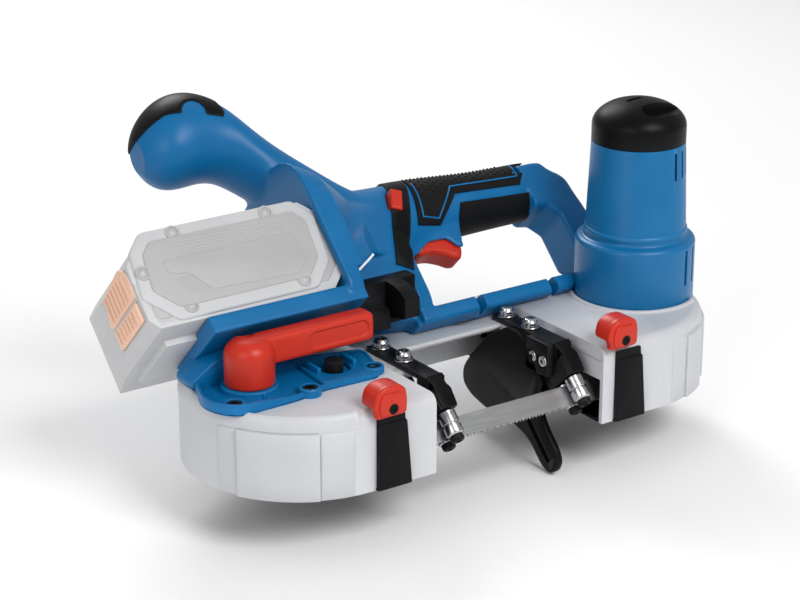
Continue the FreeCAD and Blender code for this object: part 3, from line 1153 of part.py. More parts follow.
def button_form(name, gap, low, high):
    half_x = d.button_width / 2 + gap
    half_u = d.button_length / 2 + gap
    return leaning_box(name, button_at, half_x, half_u, low, high)


def lamp_form(name):
    return prism(name, outline("lamp_lens"), d.lens_back, d.lens_front)


def handle_trim(form):
    skin = cut("grip_shell", lofted("grip_cover", "grip", d.grip_skin), lofted("grip_core", "grip"), loop_form("loop_core"))
    trigger_room = trigger_box("pad_trigger_room")
    reach = d.battery_high * 2
    top_pad = prism("top_pad", outline("top_pad"), -reach, reach)
    low_pad = prism("low_pad", outline("low_pad"), -reach, reach)
    top_grip = cut("top_grip", common("top_grip_form", skin, top_pad), collar_slab("top_grip_room", d.running_gap))
    low_grip = cut("low_grip", common("low_grip_form", skin, low_pad), trigger_room,
                   collar_slab("low_grip_room", d.running_gap))
    node("handle_grip", group("handle_grip", top_grip, low_grip), "handle")
    shell = cut("knob_shell", lofted("knob_cover", "arm", d.knob_skin), form)
    knob_area = prism("knob_area", outline("knob_pad"), -reach, reach)
    node("knob_grip", common("knob_grip", shell, knob_area), "handle")
    around = fuse("collar_around", lofted("collar_grip", "grip", d.collar_band_skin),
                  neck_form("collar_neck", d.collar_band_skin))
    slab = collar_slab("collar_slab", size(0))
    hole = button_form("collar_button_hole", d.button_gap, d.handle_middle, d.cradle_front)
    band = common("collar_ring", around, cut("collar_slab_open", slab, hole))
    catch_room = catch_recess("collar_catch_room", d.housing_gap)
    node("switch_collar", cut("switch_collar", band, form, catch_room), "handle")


def collar_slab(name, grow):
    return leaning_box(name, (d.collar_band_x, d.collar_band_u), d.collar_band_width / 2 + grow,
                       d.collar_band_height / 2 + grow, -d.cradle_front, d.cradle_front)


def handle_pieces():
    middle = d.handle_middle
    reach = reach_of()
    block = box("catch_block", (-d.catch_left, d.catch_face, 0), (-d.catch_right, reach, d.catch_top))
    rest = prism("catch_rest", [(d.rest_face_y, d.rest_low), (d.rest_face_y, d.rest_top - d.rest_slope),
                                (d.rest_face_y + d.rest_slope, d.rest_top), (d.catch_face, d.rest_top),
                                (d.catch_face, d.rest_low)], -d.catch_left, -d.rest_right, "yz")
    finger = prism("catch_finger", [row("finger", k, "y", "z") for k in range(1, len(FINGER) + 1)],
                   -d.finger_left, -d.finger_right, "yz")
    catch = common("catch_form", to_handle(fuse("catch_body", block, rest, finger)), catch_recess("catch_limits", size(0)))
    base_room = to_handle(fuse("catch_room", box("catch_floor", (-reach_of(), -reach_of(), 0),
                                                 (reach_of(), reach_of(), frame_top + d.seat_gap)),
                               box("catch_cover", (-reach_of(), -reach_of(), 0),
                                   (-d.cover_end, reach_of(), d.cover_top + d.housing_gap))))
    node("lever_catch", cut("lever_catch", catch, base_room), "handle")
    node("led_lens", group("led_lens", lamp_form("lens_block")), "handle")
    corners = {1: d.trigger_heel_round, 2: d.trigger_hollow_round, 3: d.trigger_tip_round, 4: d.trigger_tip_round}
    blade = prism("trigger_form", outline("trigger_side"), middle - d.trigger_half, middle + d.trigger_half, "xy", corners)
    pin_half = d.trigger_half + d.trigger_gap + d.trigger_pin_radius * 2 - d.running_gap
    pin = cylinder("trigger_pin", d.trigger_pin_radius, (d.trigger_pivot_x, d.trigger_pivot_u, middle - pin_half), 2 * pin_half)
    node("trigger", fuse("trigger_body", blade, pin), "handle")
    button_top = middle + d.button_top
    button = button_form("button_body", size(0), button_top - d.button_proud - d.button_stem, button_top)
    button = rounded("button_edges", button, d.button_round, lambda e: level(e, button_top))
    node("lock_off_button", group("lock_off_button", button), "handle")
    switch = box("switch_body", (d.trigger_pivot_x, d.switch_low, middle - d.grip_cavity_half),
                 (d.trigger_pivot_x + d.switch_length, d.switch_low + d.switch_height, middle + d.grip_cavity_half))
    node("trigger_switch", group("trigger_switch", switch), "handle")
    board = box("board_body", (-d.body_cavity_left + d.board_thickness, d.body_cavity_low, middle - d.body_cavity_half),
                (-d.body_cavity_left + 2 * d.board_thickness, d.body_cavity_low + d.board_height, middle + d.body_cavity_half))
    node("control_board", group("control_board", board), "handle")
    contact = box("contact_body", (-d.contact_block_left, d.battery_foot_low - d.running_gap, middle - d.contact_block_half),
                  (-d.contact_block_right, d.battery_low - d.running_gap, middle + d.contact_block_half))
    node("battery_contact_block", group("battery_contact_block", contact), "handle")


def reach_of():
    return d.battery_high * 2


# Battery, which slides out to the left

def battery_outline(inset):
    k = inset * 0.41
    return [(-d.battery_bottom_left + k, d.battery_low + inset), (-d.battery_top_right - k, d.battery_low + inset),
            (-d.battery_right - inset, d.battery_nose_low + k), (-d.battery_right - inset, d.battery_nose_high - k),
            (-d.battery_top_right - k, d.battery_high - inset), (-d.battery_top_left + k, d.battery_high - inset),
            (-d.battery_left + inset, d.battery_nose_high - k), (-d.battery_left + inset, d.battery_heel + k)]


def battery_taper(name, inset):
    """What the battery loses at the back of its left end, drawn in by inset."""
    start = d.handle_middle - d.taper_start
    left = -d.battery_left + inset
    right = left + d.battery_taper
    return prism(name, [(-reach_of(), start), (left, start), (right, d.handle_middle - d.battery_half),
                        (right, -reach_of()), (-reach_of(), -reach_of())], -reach_of(), 0, "xz")


def battery():
    middle = d.handle_middle
    end_middle = middle + d.end_shift
    low = middle - d.battery_half
    high = middle + d.battery_half
    reach = d.battery_high * 2
    outer = cut("battery_hull", prism("battery_outer", battery_outline(size(0)), low, high),
                battery_taper("hull_taper", size(0)))
    inner = prism("battery_inner", battery_outline(d.battery_wall), low + d.battery_wall, high - d.battery_wall)
    inner = cut("battery_room", inner, battery_taper("room_taper", d.battery_wall))
    foot = box("battery_foot", (-d.battery_foot_left, d.battery_foot_low, middle - d.battery_foot_half),
               (-d.battery_foot_right, d.battery_low, middle + d.battery_foot_half))
    front_panel = prism("front_panel", battery_outline(d.panel_inset), high - d.panel_thickness, high)
    rear_panel = cut("rear_panel", prism("rear_form", battery_outline(d.panel_inset), low, low + d.panel_thickness),
                     battery_taper("panel_taper", d.panel_inset))
    pad = box("end_pad", (-d.battery_left, d.end_pad_low, end_middle - d.end_pad_half),
              (-d.battery_left + d.end_pad, d.end_pad_high, end_middle + d.end_pad_half))
    gap = d.running_gap
    opening = box("release_opening", (-d.battery_left, d.release_low - gap, end_middle - d.release_half - gap),
                  (-d.battery_left + d.battery_wall, d.release_high + gap, end_middle + d.release_half + gap))
    shell = cut("battery_shell", fuse("battery_solid", outer, foot), inner, front_panel, rear_panel, pad, opening)
    above = box("battery_above", (-reach, d.battery_split, -reach), (reach, reach, reach))
    below = box("battery_below", (-reach, -reach, -reach), (reach, d.battery_split, reach))
    node("battery_case", common("battery_case", shell, above), "handle")
    node("battery_base", common("battery_base", shell, below), "handle")
    node("battery_panels", group("battery_panels", front_panel, rear_panel, pad), "handle")
    cells = []
    length = 2 * (d.battery_half - d.battery_wall)
    for column in range(int(d.cell_columns.value)):
        for line in range(int(d.cell_rows.value)):
            cells.append(cylinder("cell", d.cell_radius, (-d.cell_start + column * d.cell_pitch, d.cell_low + line * d.cell_pitch,
                                                          low + d.battery_wall), length))
    node("battery_cells", group("battery_cells", *cells), "handle")
    button = box("release_body", (-d.battery_left - d.release_proud, d.release_low, end_middle - d.release_half),
                 (-d.battery_left + d.release_depth, d.release_high, end_middle + d.release_half))
    node("battery_button", group("battery_button", button), "handle")


main_frame()
for side, label in ((-1, "left"), (1, "right")):
    wheel_cover(label + "_wheel_cover", side)
    bottom_guard(label + "_bottom_guard", side)
    guide_bracket(label + "_guide_bracket", side)
    for place, w in zip(("front", "rear"), roller_places()):
        guide_roller(f"{label}_{place}_roller", side, w)
    guard_latch(side)
guide_fasteners()
material_stop()
saw_blade()
idler_parts()
idler_base()
tension_lever()
drive()
motor()
handle_trim(housing())
handle_pieces()
battery()
doc.recompute()

faults = [item.Name for item in doc.Objects if "Invalid" in item.State or "Error" in item.State]
for name, item in nodes:
    if item.Shape.isNull() or not item.Shape.isValid():
        faults.append(name)
if faults:
    raise RuntimeError("faulty pieces: " + ", ".join(faults))
os.makedirs("parts", exist_ok=True)
for name, item in nodes:
    item.Shape.exportStep(f"parts/{name}.step")
whole = FreeCAD.BoundBox()
for name, item in nodes:
    whole.add(item.Shape.BoundBox)
    print(name, len(item.Shape.Solids), [round(v, 2) for v in (*item.Shape.BoundBox.Center, item.Shape.Volume)])
print(len(nodes), "nodes", whole)
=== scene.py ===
import bpy
import bmesh
import json
import math
from mathutils import Matrix, Vector
from mathutils.bvhtree import BVHTree


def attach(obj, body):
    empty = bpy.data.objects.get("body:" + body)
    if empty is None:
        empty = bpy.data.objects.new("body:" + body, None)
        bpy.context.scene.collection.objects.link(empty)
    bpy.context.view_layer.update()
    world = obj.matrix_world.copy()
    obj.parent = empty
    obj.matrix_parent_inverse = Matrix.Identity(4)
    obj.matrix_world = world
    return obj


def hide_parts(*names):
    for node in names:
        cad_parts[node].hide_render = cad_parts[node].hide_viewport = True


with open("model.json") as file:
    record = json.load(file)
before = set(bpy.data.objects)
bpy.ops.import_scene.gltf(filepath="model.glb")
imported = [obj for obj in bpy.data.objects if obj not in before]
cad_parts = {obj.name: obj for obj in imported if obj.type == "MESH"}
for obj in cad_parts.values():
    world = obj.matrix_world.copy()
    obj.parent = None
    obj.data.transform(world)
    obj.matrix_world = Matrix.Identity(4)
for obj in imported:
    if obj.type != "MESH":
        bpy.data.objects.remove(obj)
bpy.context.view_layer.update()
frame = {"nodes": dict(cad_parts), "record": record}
nodes = frame["nodes"]
bodyOfNode = {n: b for b, members in frame["record"]["behaviour"]["bodies"].items() for n in members}
print("saw: frame loaded,", len(nodes), "nodes")

# saw frame in mm: x from idler to motor, y back, z up; the handle frame is turned 45 degrees about x
datum = Vector((9.8, -40.1, 30.6))
slant = math.sqrt(0.5)


def sawAt(x, y, z):
    return (Vector((x, y, z)) + datum) / 1000


def handleAt(x, u, w):
    return sawAt(x, (u - w) * slant, (u + w) * slant)


def handleCoords(point):
    p = point * 1000 - datum
    return p.x, (p.y + p.z) * slant, (p.z - p.y) * slant


xAxis, yAxis, upAxis = sawAxes = (Vector((1, 0, 0)), Vector((0, 1, 0)), Vector((0, 0, 1)))
handleAxes = (xAxis, Vector((0, slant, slant)), Vector((0, -slant, slant)))
sideAxes = (xAxis, upAxis, yAxis)
sawOrigin = sawAt(0, 0, 0)
sides = ("left", "right")
wheelSpan = 97.5               # each wheel's axis from the middle
motorAxis = (128.24, -4.0)


def clamped(t):
    return min(1, max(0, t))


def eased(t):
    t = clamped(t)
    return t * t * (3 - 2 * t)


# finishes

def nodeTree(name):
    material = bpy.data.materials.new(name)
    material.use_nodes = True
    tree = material.node_tree
    return material, tree, tree.nodes["Principled BSDF"], tree.nodes.new("ShaderNodeTexCoord")


def shaderNode(tree, kind, values):
    node = tree.nodes.new(kind)
    for socket, value in values.items():
        node.inputs[socket].default_value = value
    return node


def noiseNode(tree, where, scale, detail, rough=0.55, stretch=None):
    texture = shaderNode(tree, "ShaderNodeTexNoise", {"Scale": scale, "Detail": detail, "Roughness": rough})
    source = where.outputs["Object"]
    if stretch:
        mapping = shaderNode(tree, "ShaderNodeMapping", {"Scale": stretch})
        tree.links.new(source, mapping.inputs["Vector"])
        source = mapping.outputs["Vector"]
    tree.links.new(source, texture.inputs["Vector"])
    return texture


def rampNode(tree, source, stops):
    ramp = tree.nodes.new("ShaderNodeValToRGB")
    for element, (place, colour) in zip(ramp.color_ramp.elements, stops):
        element.position = place
        element.color = (*colour, 1)
    tree.links.new(source, ramp.inputs["Fac"])
    return ramp.outputs["Color"]


def shadeOf(colour, factor):
    return tuple(min(1.0, c * factor) for c in colour)


def mottled(tree, texture, dark, light):
    return rampNode(tree, texture.outputs["Fac"], [(0.3, dark), (0.7, light)])


def roughened(tree, shader, texture, low, high):
    span = shaderNode(tree, "ShaderNodeMapRange",
                      {"From Min": 0.3, "From Max": 0.7, "To Min": low, "To Max": high})
    tree.links.new(texture.outputs["Fac"], span.inputs["Value"])
    tree.links.new(span.outputs["Result"], shader.inputs["Roughness"])


def bumped(tree, shader, height, strength, depth, under=None):
    bump = shaderNode(tree, "ShaderNodeBump", {"Strength": strength, "Distance": depth})
    tree.links.new(height, bump.inputs["Height"])
    if under:
        tree.links.new(under.outputs["Normal"], bump.inputs["Normal"])
    tree.links.new(bump.outputs["Normal"], shader.inputs["Normal"])
    return bump


# edge sets how much lighter the edges are painted: partly wear, partly a painted edge highlight
def plasticFinish(name, colour, rough, grain, depth, mottle, edge=1.35, gloss=0.5, coat=0.0):
    material, tree, shader, where = nodeTree(name)
    cloud = noiseNode(tree, where, 38, 3)
    base = mottled(tree, cloud, shadeOf(colour, 1 - mottle), shadeOf(colour, 1 + mottle))
    rim = tree.nodes.new("ShaderNodeNewGeometry")     # edges lightened by pointiness: partly wear, partly a painted highlight along the edges
    wornAndHighlightEdgeMask = shaderNode(tree, "ShaderNodeMapRange", {"From Min": 0.53, "From Max": 0.62})
    tree.links.new(rim.outputs["Pointiness"], wornAndHighlightEdgeMask.inputs["Value"])
    blend = tree.nodes.new("ShaderNodeMix")
    blend.data_type = "RGBA"
    tree.links.new(wornAndHighlightEdgeMask.outputs["Result"], blend.inputs["Factor"])
    tree.links.new(base, blend.inputs["A"])
    blend.inputs["B"].default_value = (*shadeOf(colour, edge), 1)
    tree.links.new(blend.outputs["Result"], shader.inputs["Base Color"])
    roughened(tree, shader, cloud, *rough)
    bumped(tree, shader, noiseNode(tree, where, grain, 2, 0.6).outputs["Fac"], 0.35, depth)
    shader.inputs["Specular IOR Level"].default_value = gloss
    if coat:
        shader.inputs["Coat Weight"].default_value = coat
        shader.inputs["Coat Roughness"].default_value = 0.2
    return material


def metalFinish(name, colour, rough, lines, scale, mottle=0.12, depth=0.00002, metal=1.0):
    material, tree, shader, where = nodeTree(name)
    brush = noiseNode(tree, where, scale, 5, 0.65, lines)
    base = mottled(tree, brush, shadeOf(colour, 1 - mottle), shadeOf(colour, 1 + mottle))
    tree.links.new(base, shader.inputs["Base Color"])
    roughened(tree, shader, brush, *rough)
    bumped(tree, shader, brush.outputs["Fac"], 0.3, depth)
    shader.inputs["Metallic"].default_value = metal
    return material


def rubberFinish(name, colour, pitch=0.0009, depth=0.00006):
    # fine close grain, laid out in the handle's own frame
    material, tree, shader, where = nodeTree(name)
    mapping = shaderNode(tree, "ShaderNodeMapping", {"Rotation": (math.radians(-45), 0, 0)})
    tree.links.new(where.outputs["Object"], mapping.inputs["Vector"])
    cells = shaderNode(tree, "ShaderNodeTexVoronoi", {"Scale": 1 / pitch, "Randomness": 0.0})
    tree.links.new(mapping.outputs["Vector"], cells.inputs["Vector"])
    dots = rampNode(tree, cells.outputs["Distance"], [(0.22, (1, 1, 1)), (0.36, (0, 0, 0))])
    cloud = noiseNode(tree, where, 60, 3)
    base = mottled(tree, cloud, shadeOf(colour, 0.8), shadeOf(colour, 1.25))
    tree.links.new(base, shader.inputs["Base Color"])
    roughened(tree, shader, cloud, 0.5, 0.66)
    fine = bumped(tree, shader, noiseNode(tree, where, 1800, 2).outputs["Fac"], 0.3, 0.00005)
    bumped(tree, shader, dots, 0.8, depth, fine)
    shader.inputs["Specular IOR Level"].default_value = 0.14
    return material


def lampFinish(name):
    material, tree, shader, where = nodeTree(name)
    cloud = noiseNode(tree, where, 300, 3)
    base = mottled(tree, cloud, (0.75, 0.8, 0.85), (0.95, 0.97, 1.0))
    tree.links.new(base, shader.inputs["Base Color"])
    roughened(tree, shader, cloud, 0.05, 0.16)
    shader.inputs["Coat Weight"].default_value = 0.6
    return material


finishes = {
    "housing_blue": plasticFinish("shellBlue", (0.0015, 0.125, 0.32), (0.32, 0.44), 1500, 0.00005, 0.05,
                                  gloss=0.28),
    "motor_blue": plasticFinish("motorBlue", (0.002, 0.13, 0.32), (0.3, 0.42), 1500, 0.00004, 0.05, gloss=0.35),
    "cover_grey": plasticFinish("coverGrey", (0.53, 0.54, 0.565), (0.4, 0.52), 900, 0.00008, 0.03, 1.12),
    # black moulding and black steel get strongly lightened edges, mostly a painted edge highlight
    "black_plastic": plasticFinish("blackMoulding", (0.004, 0.0042, 0.0046), (0.34, 0.46), 1600, 0.00005, 0.2,
                                   4.0, 0.1),
    "grip_rubber": rubberFinish("gripRubber", (0.005, 0.005, 0.0055)),
    "signal_red": plasticFinish("signalRed", (0.52, 0.024, 0.009), (0.32, 0.44), 1500, 0.00005, 0.06, 1.3, 0.32),
    "bright_steel": metalFinish("brightSteel", (0.5, 0.5, 0.515), (0.16, 0.3), (1, 1, 6), 220),
    "blade_steel": metalFinish("bladeSteel", (0.34, 0.345, 0.35), (0.32, 0.42), (1, 14, 14), 60, 0.05),
    "black_steel": plasticFinish("blackPaintedSteel", (0.0035, 0.0035, 0.004), (0.3, 0.42), 700, 0.00006, 0.25,
                                 8.0, 0.1),
    "cast_alloy": metalFinish("castAlloy", (0.62, 0.63, 0.645), (0.42, 0.58), (1, 1, 1), 500, 0.06, 0.00008, 0.25),
    "wheel_alloy": metalFinish("wheelAlloy", (0.6, 0.6, 0.61), (0.28, 0.42), (1, 1, 3), 240),
    "wheel_tyre": plasticFinish("wheelTyre", (0.012, 0.012, 0.012), (0.6, 0.75), 1200, 0.0001, 0.2),
    "stator_iron": metalFinish("statorIron", (0.3, 0.29, 0.28), (0.4, 0.55), (1, 1, 60), 90),
    "battery_grey": plasticFinish("batteryGrey", (0.5, 0.505, 0.515), (0.4, 0.52), 1200, 0.00007, 0.03, 1.15),
    "battery_panel": plasticFinish("batteryPanel", (0.4, 0.395, 0.4), (0.45, 0.56), 1000, 0.00008, 0.04, 1.15),
    "battery_orange": plasticFinish("batteryOrange", (0.82, 0.52, 0.38), (0.42, 0.54), 1300, 0.00007, 0.05, 1.1),
    "cell_wrap": plasticFinish("cellWrap", (0.03, 0.16, 0.1), (0.3, 0.42), 500, 0.00004, 0.1, coat=0.3),
    "board_green": plasticFinish("boardGreen", (0.015, 0.11, 0.045), (0.35, 0.5), 600, 0.00006, 0.15, coat=0.2),
    "lamp_clear": lampFinish("lampLens"),
}
slotOfNode = {}
for name, part in nodes.items():      # every carried-over node starts with its slot's finish
    slotOfNode[name] = part.data.materials[0].name.split(".")[0]
    part.data.materials.clear()
    part.data.materials.append(finishes[slotOfNode[name]])
print("saw: finishes made,", len(finishes))


# mesh helpers

def placed(name, data):
    thing = bpy.data.objects.new(name, data)
    bpy.context.scene.collection.objects.link(thing)
    return thing


def asMesh(name, mesh):
    made = bpy.data.meshes.new(name)
    bmesh.ops.recalc_face_normals(mesh, faces=mesh.faces)
    mesh.to_mesh(made)
    mesh.free()
    return made


def addPiece(name, mesh, body, slotName, replaced=(), sharp=35):
    made = asMesh(name, mesh) if isinstance(mesh, bmesh.types.BMesh) else mesh
    made.materials.clear()
    made.materials.append(finishes[slotName])
    made.shade_smooth()
    made.set_sharp_from_angle(angle=math.radians(sharp))
    piece = placed(name, made)
    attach(piece, body)
    if replaced:
        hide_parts(*replaced)


def cleanCopy(*names):
    mesh = bmesh.new()
    for name in names:
        mesh.from_mesh(nodes[name].data)
    bmesh.ops.remove_doubles(mesh, verts=mesh.verts, dist=2e-6)
    return mesh


def bevelled(mesh, width):
    bmesh.ops.dissolve_limit(mesh, angle_limit=math.radians(0.6), verts=mesh.verts, edges=mesh.edges)
    edges = [e for e in mesh.edges if len(e.link_faces) == 2 and e.calc_face_angle(0) > math.radians(28)]
    bmesh.ops.bevel(mesh, geom=edges, offset=width / 1000, segments=2, profile=0.6, affect="EDGES",
                    clamp_overlap=True)
    return mesh


def dress(name, width, slotName=None):
    mesh = bevelled(cleanCopy(name), width)
    addPiece(name + "_dressed", mesh, bodyOfNode[name], slotName or slotOfNode[name], [name])


def acrossFrom(axis):
    side = xAxis if abs(axis.x) < 0.9 else yAxis
    side = (side - axis * side.dot(axis)).normalized()
    return side, axis.cross(side)


def turnedRing(mesh, middle, side, other, radius, segments, form=None):
    ring = []
    for k in range(segments):
        turn = 2 * math.pi * k / segments
        reach = radius * form(turn) if form else radius
        ring.append(mesh.verts.new(middle + (side * math.cos(turn) + other * math.sin(turn)) * (reach / 1000)))
    return ring


def joinRings(mesh, low, high):
    for k in range(max(len(low), len(high))):
        around = (low[k % len(low)], low[(k + 1) % len(low)], high[(k + 1) % len(high)], high[k % len(high)])
        corners = list(dict.fromkeys(around))       # a tip counts once
        if len(corners) > 2:
            mesh.faces.new(corners)


def joinAll(mesh, rings, closed=False):
    for low, high in zip(rings, rings[1:]):
        joinRings(mesh, low, high)
    if closed:
        joinRings(mesh, rings[-1], rings[0])


def capped(mesh, rings):
    joinAll(mesh, rings)
    mesh.faces.new(list(reversed(rings[0])))
    mesh.faces.new(rings[-1])


def lathe(mesh, origin, axis, profile, segments=48, closed=False):
    # profile: radius and height in mm, from one end of the axis to the other
    axis = axis.normalized()
    side, other = acrossFrom(axis)
    rings = []
    for radius, height in profile:
        middle = origin + axis * (height / 1000)
        if radius < 1e-6:
            rings.append([mesh.verts.new(middle)])
        else:
            rings.append(turnedRing(mesh, middle, side, other, radius, segments))
    joinAll(mesh, rings, closed)


recessForms = {
    "hex": lambda turn: 1 / math.cos(((turn + math.pi / 6) % (math.pi / 3)) - math.pi / 6) * 0.88,
    "star": lambda turn: 0.82 + 0.18 * math.cos(6 * turn),
    "cross": lambda turn: 1.0 if abs(((turn + math.pi / 4) % (math.pi / 2)) - math.pi / 4) < 0.26 else 0.42,
}


def screwHead(mesh, origin, axis, radius, height, kind, recess, depth, dome):
    # a turned head with a driver recess sunk into its top
    axis = axis.normalized()
    side, other = acrossFrom(axis)
    form = recessForms[kind]
    shoulder = height * (1 - dome)
    hole = radius * recess
    steps = ((radius, 0, None), (radius, shoulder * 0.9, None), (radius * 0.96, shoulder, None),
             (radius * 0.8, height * 0.94, None), (hole * 1.15, height, None), (hole, height, form),
             (hole * 0.86, height * (1 - depth), form))
    capped(mesh, [turnedRing(mesh, origin + axis * (level / 1000), side, other, reach, 48, shape)
                  for reach, level, shape in steps])


def insetOutline(outline, amount):
    turnSign = sum(p[0] * q[1] - q[0] * p[1] for p, q in zip(outline, outline[1:] + outline[:1]))
    if turnSign < 0:
        outline = list(reversed(outline))
    moved = []
    for k, p in enumerate(outline):
        before, after = outline[k - 1], outline[(k + 1) % len(outline)]
        e1 = Vector((p[0] - before[0], p[1] - before[1])).normalized()
        e2 = Vector((after[0] - p[0], after[1] - p[1])).normalized()
        n1, n2 = Vector((-e1.y, e1.x)), Vector((-e2.y, e2.x))
        way = n1 + n2
        scale = amount / max(0.35, way.dot(n1)) if way.length > 1e-6 else 0
        moved.append((p[0] + way.x * scale, p[1] + way.y * scale))
    return moved


def slab(mesh, outline, axes, origin, low, high, bevel=0.6, segments=3):
    # a plate whose outline is in the first two axes (mm) with rounded edges, built from inset rings
    a, b, c = axes
    steps = []
    for k in range(segments + 1):
        turn = math.pi / 2 * k / segments
        steps.append((bevel * (1 - math.sin(turn)), low + bevel * (1 - math.cos(turn))))
    steps += [(i, high + low - level) for i, level in reversed(steps)]
    capped(mesh, [[mesh.verts.new(origin + (a * p[0] + b * p[1] + c * level) / 1000)
                   for p in insetOutline(outline, amount)] for amount, level in steps])


def roundRect(x0, y0, x1, y1, r, steps=5):
    points = []
    for cx, cy, start in ((x1 - r, y1 - r, 0), (x0 + r, y1 - r, 90), (x0 + r, y0 + r, 180), (x1 - r, y0 + r, 270)):
        for k in range(steps + 1):
            turn = math.radians(start + 90 * k / steps)
            points.append((cx + r * math.cos(turn), cy + r * math.sin(turn)))
    return points


def roundedOutline(points, radius, steps=4):
    # fillets the corners of a polygon
    made = []
    for k, p in enumerate(points):
        p = Vector(p)
        before = Vector(points[k - 1]) - p
        after = Vector(points[(k + 1) % len(points)]) - p
        reach = min(radius, before.length * 0.45, after.length * 0.45)
        first, last = p + before.normalized() * reach, p + after.normalized() * reach
        for i in range(steps + 1):
            t = i / steps
            q = first * (1 - t) ** 2 + p * 2 * t * (1 - t) + last * t ** 2
            made.append((q.x, q.y))
    return made


def holderOf(name, mesh):
    return placed(name, asMesh(name, mesh))


def applied(holder):
    holder.data.update()
    graph = bpy.context.evaluated_depsgraph_get()
    graph.update()
    made = bpy.data.meshes.new_from_object(holder.evaluated_get(graph))
    holder.modifiers.clear()
    return made


def softened(holder, rounds, group=""):
    soften = holder.modifiers.new("soften", "SMOOTH")
    soften.factor = 0.5
    soften.iterations = rounds
    soften.vertex_group = group


def drawTogether(holder, voxel, rounds=0):
    voxels = holder.modifiers.new("voxels", "REMESH")
    voxels.mode = "VOXEL"
    voxels.voxel_size = voxel / 1000
    if rounds:
        softened(holder, rounds)
    holder.data = applied(holder)


def cutAway(holder, mesh):
    tool = holderOf("cuttingTool", mesh)
    cut = holder.modifiers.new("cut", "BOOLEAN")
    cut.operation = "DIFFERENCE"
    cut.solver = "EXACT"
    cut.object = tool
    holder.data = applied(holder)
    bpy.data.objects.remove(tool)


def released(holder):
    made = holder.data
    bpy.data.objects.remove(holder)
    return made


# edges of the CAD pieces whose shape is right

edgeRounds = {
    "left_bottom_guard": 0.4, "right_bottom_guard": 0.4, "left_guide_bracket": 0.8, "right_guide_bracket": 0.8,
    "lever_catch": 1.0, "lock_off_button": 0.5, "battery_case": 1.6, "battery_base": 1.2, "battery_panels": 0.5,
    "battery_button": 0.8, "led_lens": 0.4, "gear_collar": 0.6, "battery_contact_block": 0.4,
    "trigger_switch": 0.5, "control_board": 0.3,
}
for name, width in edgeRounds.items():
    dress(name, width)
dress("tracking_bolt", 0.4, "black_steel")
print("saw: edges rounded on", len(edgeRounds) + 1, "nodes")

# cast frame and wheel covers, their roof over the returning band set lower than the deck

roofLook = {"from": 37.0, "to": 43.0, "drop": 9.0, "above": 34.0, "ends": (-84.0, 134.0), "slope": 14.0}


def lowerRoof(name, edge, sharp):
    mesh = cleanCopy(name)
    low, high = roofLook["ends"]
    start, end, slope = (roofLook[k] for k in ("from", "to", "slope"))
    planes = [(yAxis, (0, start, 0)), (yAxis, (0, end, 0))]
    planes += [(xAxis, (x, 0, 0)) for x in (low, low + slope, high - slope, high)]
    for normal, place in planes:
        bmesh.ops.bisect_plane(mesh, geom=mesh.verts[:] + mesh.edges[:] + mesh.faces[:], plane_co=sawAt(*place),
                               plane_no=normal)
    for v in mesh.verts:
        x, y, z = v.co * 1000 - datum
        if z > roofLook["above"]:
            back = clamped((y - start) / (end - start))
            inside = clamped(min(x - low, high - x) / slope)
            v.co.z -= roofLook["drop"] * back * inside / 1000
    if edge:
        bevelled(mesh, edge)
    addPiece(name + "_lowered", mesh, "saw_body", slotOfNode[name], [name], sharp)


lowerRoof("main_frame", 0.5, 35)
lowerRoof("left_wheel_cover", 0, 30)
lowerRoof("right_wheel_cover", 0, 30)
print("saw: frame and covers cast")

# blue housing: the two halves drawn together into one smooth moulding, the right leg of the loop drawn outward

housingLook = {"voxel": 1.0, "edgeRounds": 5, "blendRounds": 34, "blendReach": 40, "blendFade": 18,
               "neck": ((6, 112, 15), (-52, 150, 15)),
               "slots": ((-24.5, 42.6, 51), (31.0, 43.0, 57), (82.5, 43.0, 57)), "slotHalf": 2.7,
               "slotDepth": (20, 45), "lampNose": (30, 112), "pocketRim": (-56, 134),
               "legFrom": 66, "legInner": (83, 9.5), "legOuter": (124, 4.5), "legFoot": (44, 12),
               "archFrom": (80, 8), "archTop": (112, 14, 4.5), "archSoft": (98, 8, 92, 10), "archRounds": 30}


def legShift(x, u):
    # draws the loop's right leg outward and its top corner down
    start = housingLook["legFrom"]
    inner, inShift = housingLook["legInner"]
    outer, outShift = housingLook["legOuter"]
    foot, footRise = housingLook["legFoot"]
    top, topRise, drop = housingLook["archTop"]
    arch, archRun = housingLook["archFrom"]
    if x < inner:
        along = inShift * eased((x - start) / (inner - start))
    else:
        along = inShift + (outShift - inShift) * min(1, (x - inner) / (outer - inner))
    sink = drop * eased((u - top) / topRise) * eased((x - arch) / archRun)
    return handleAxes[0] * (along * eased((u - foot) / footRise) / 1000) - handleAxes[1] * (sink / 1000)


def segmentDistance(p, a, b):
    p, a, b = Vector(p), Vector(a), Vector(b)
    along = b - a
    t = clamped((p - a).dot(along) / along.length_squared)
    return (p - a - along * t).length


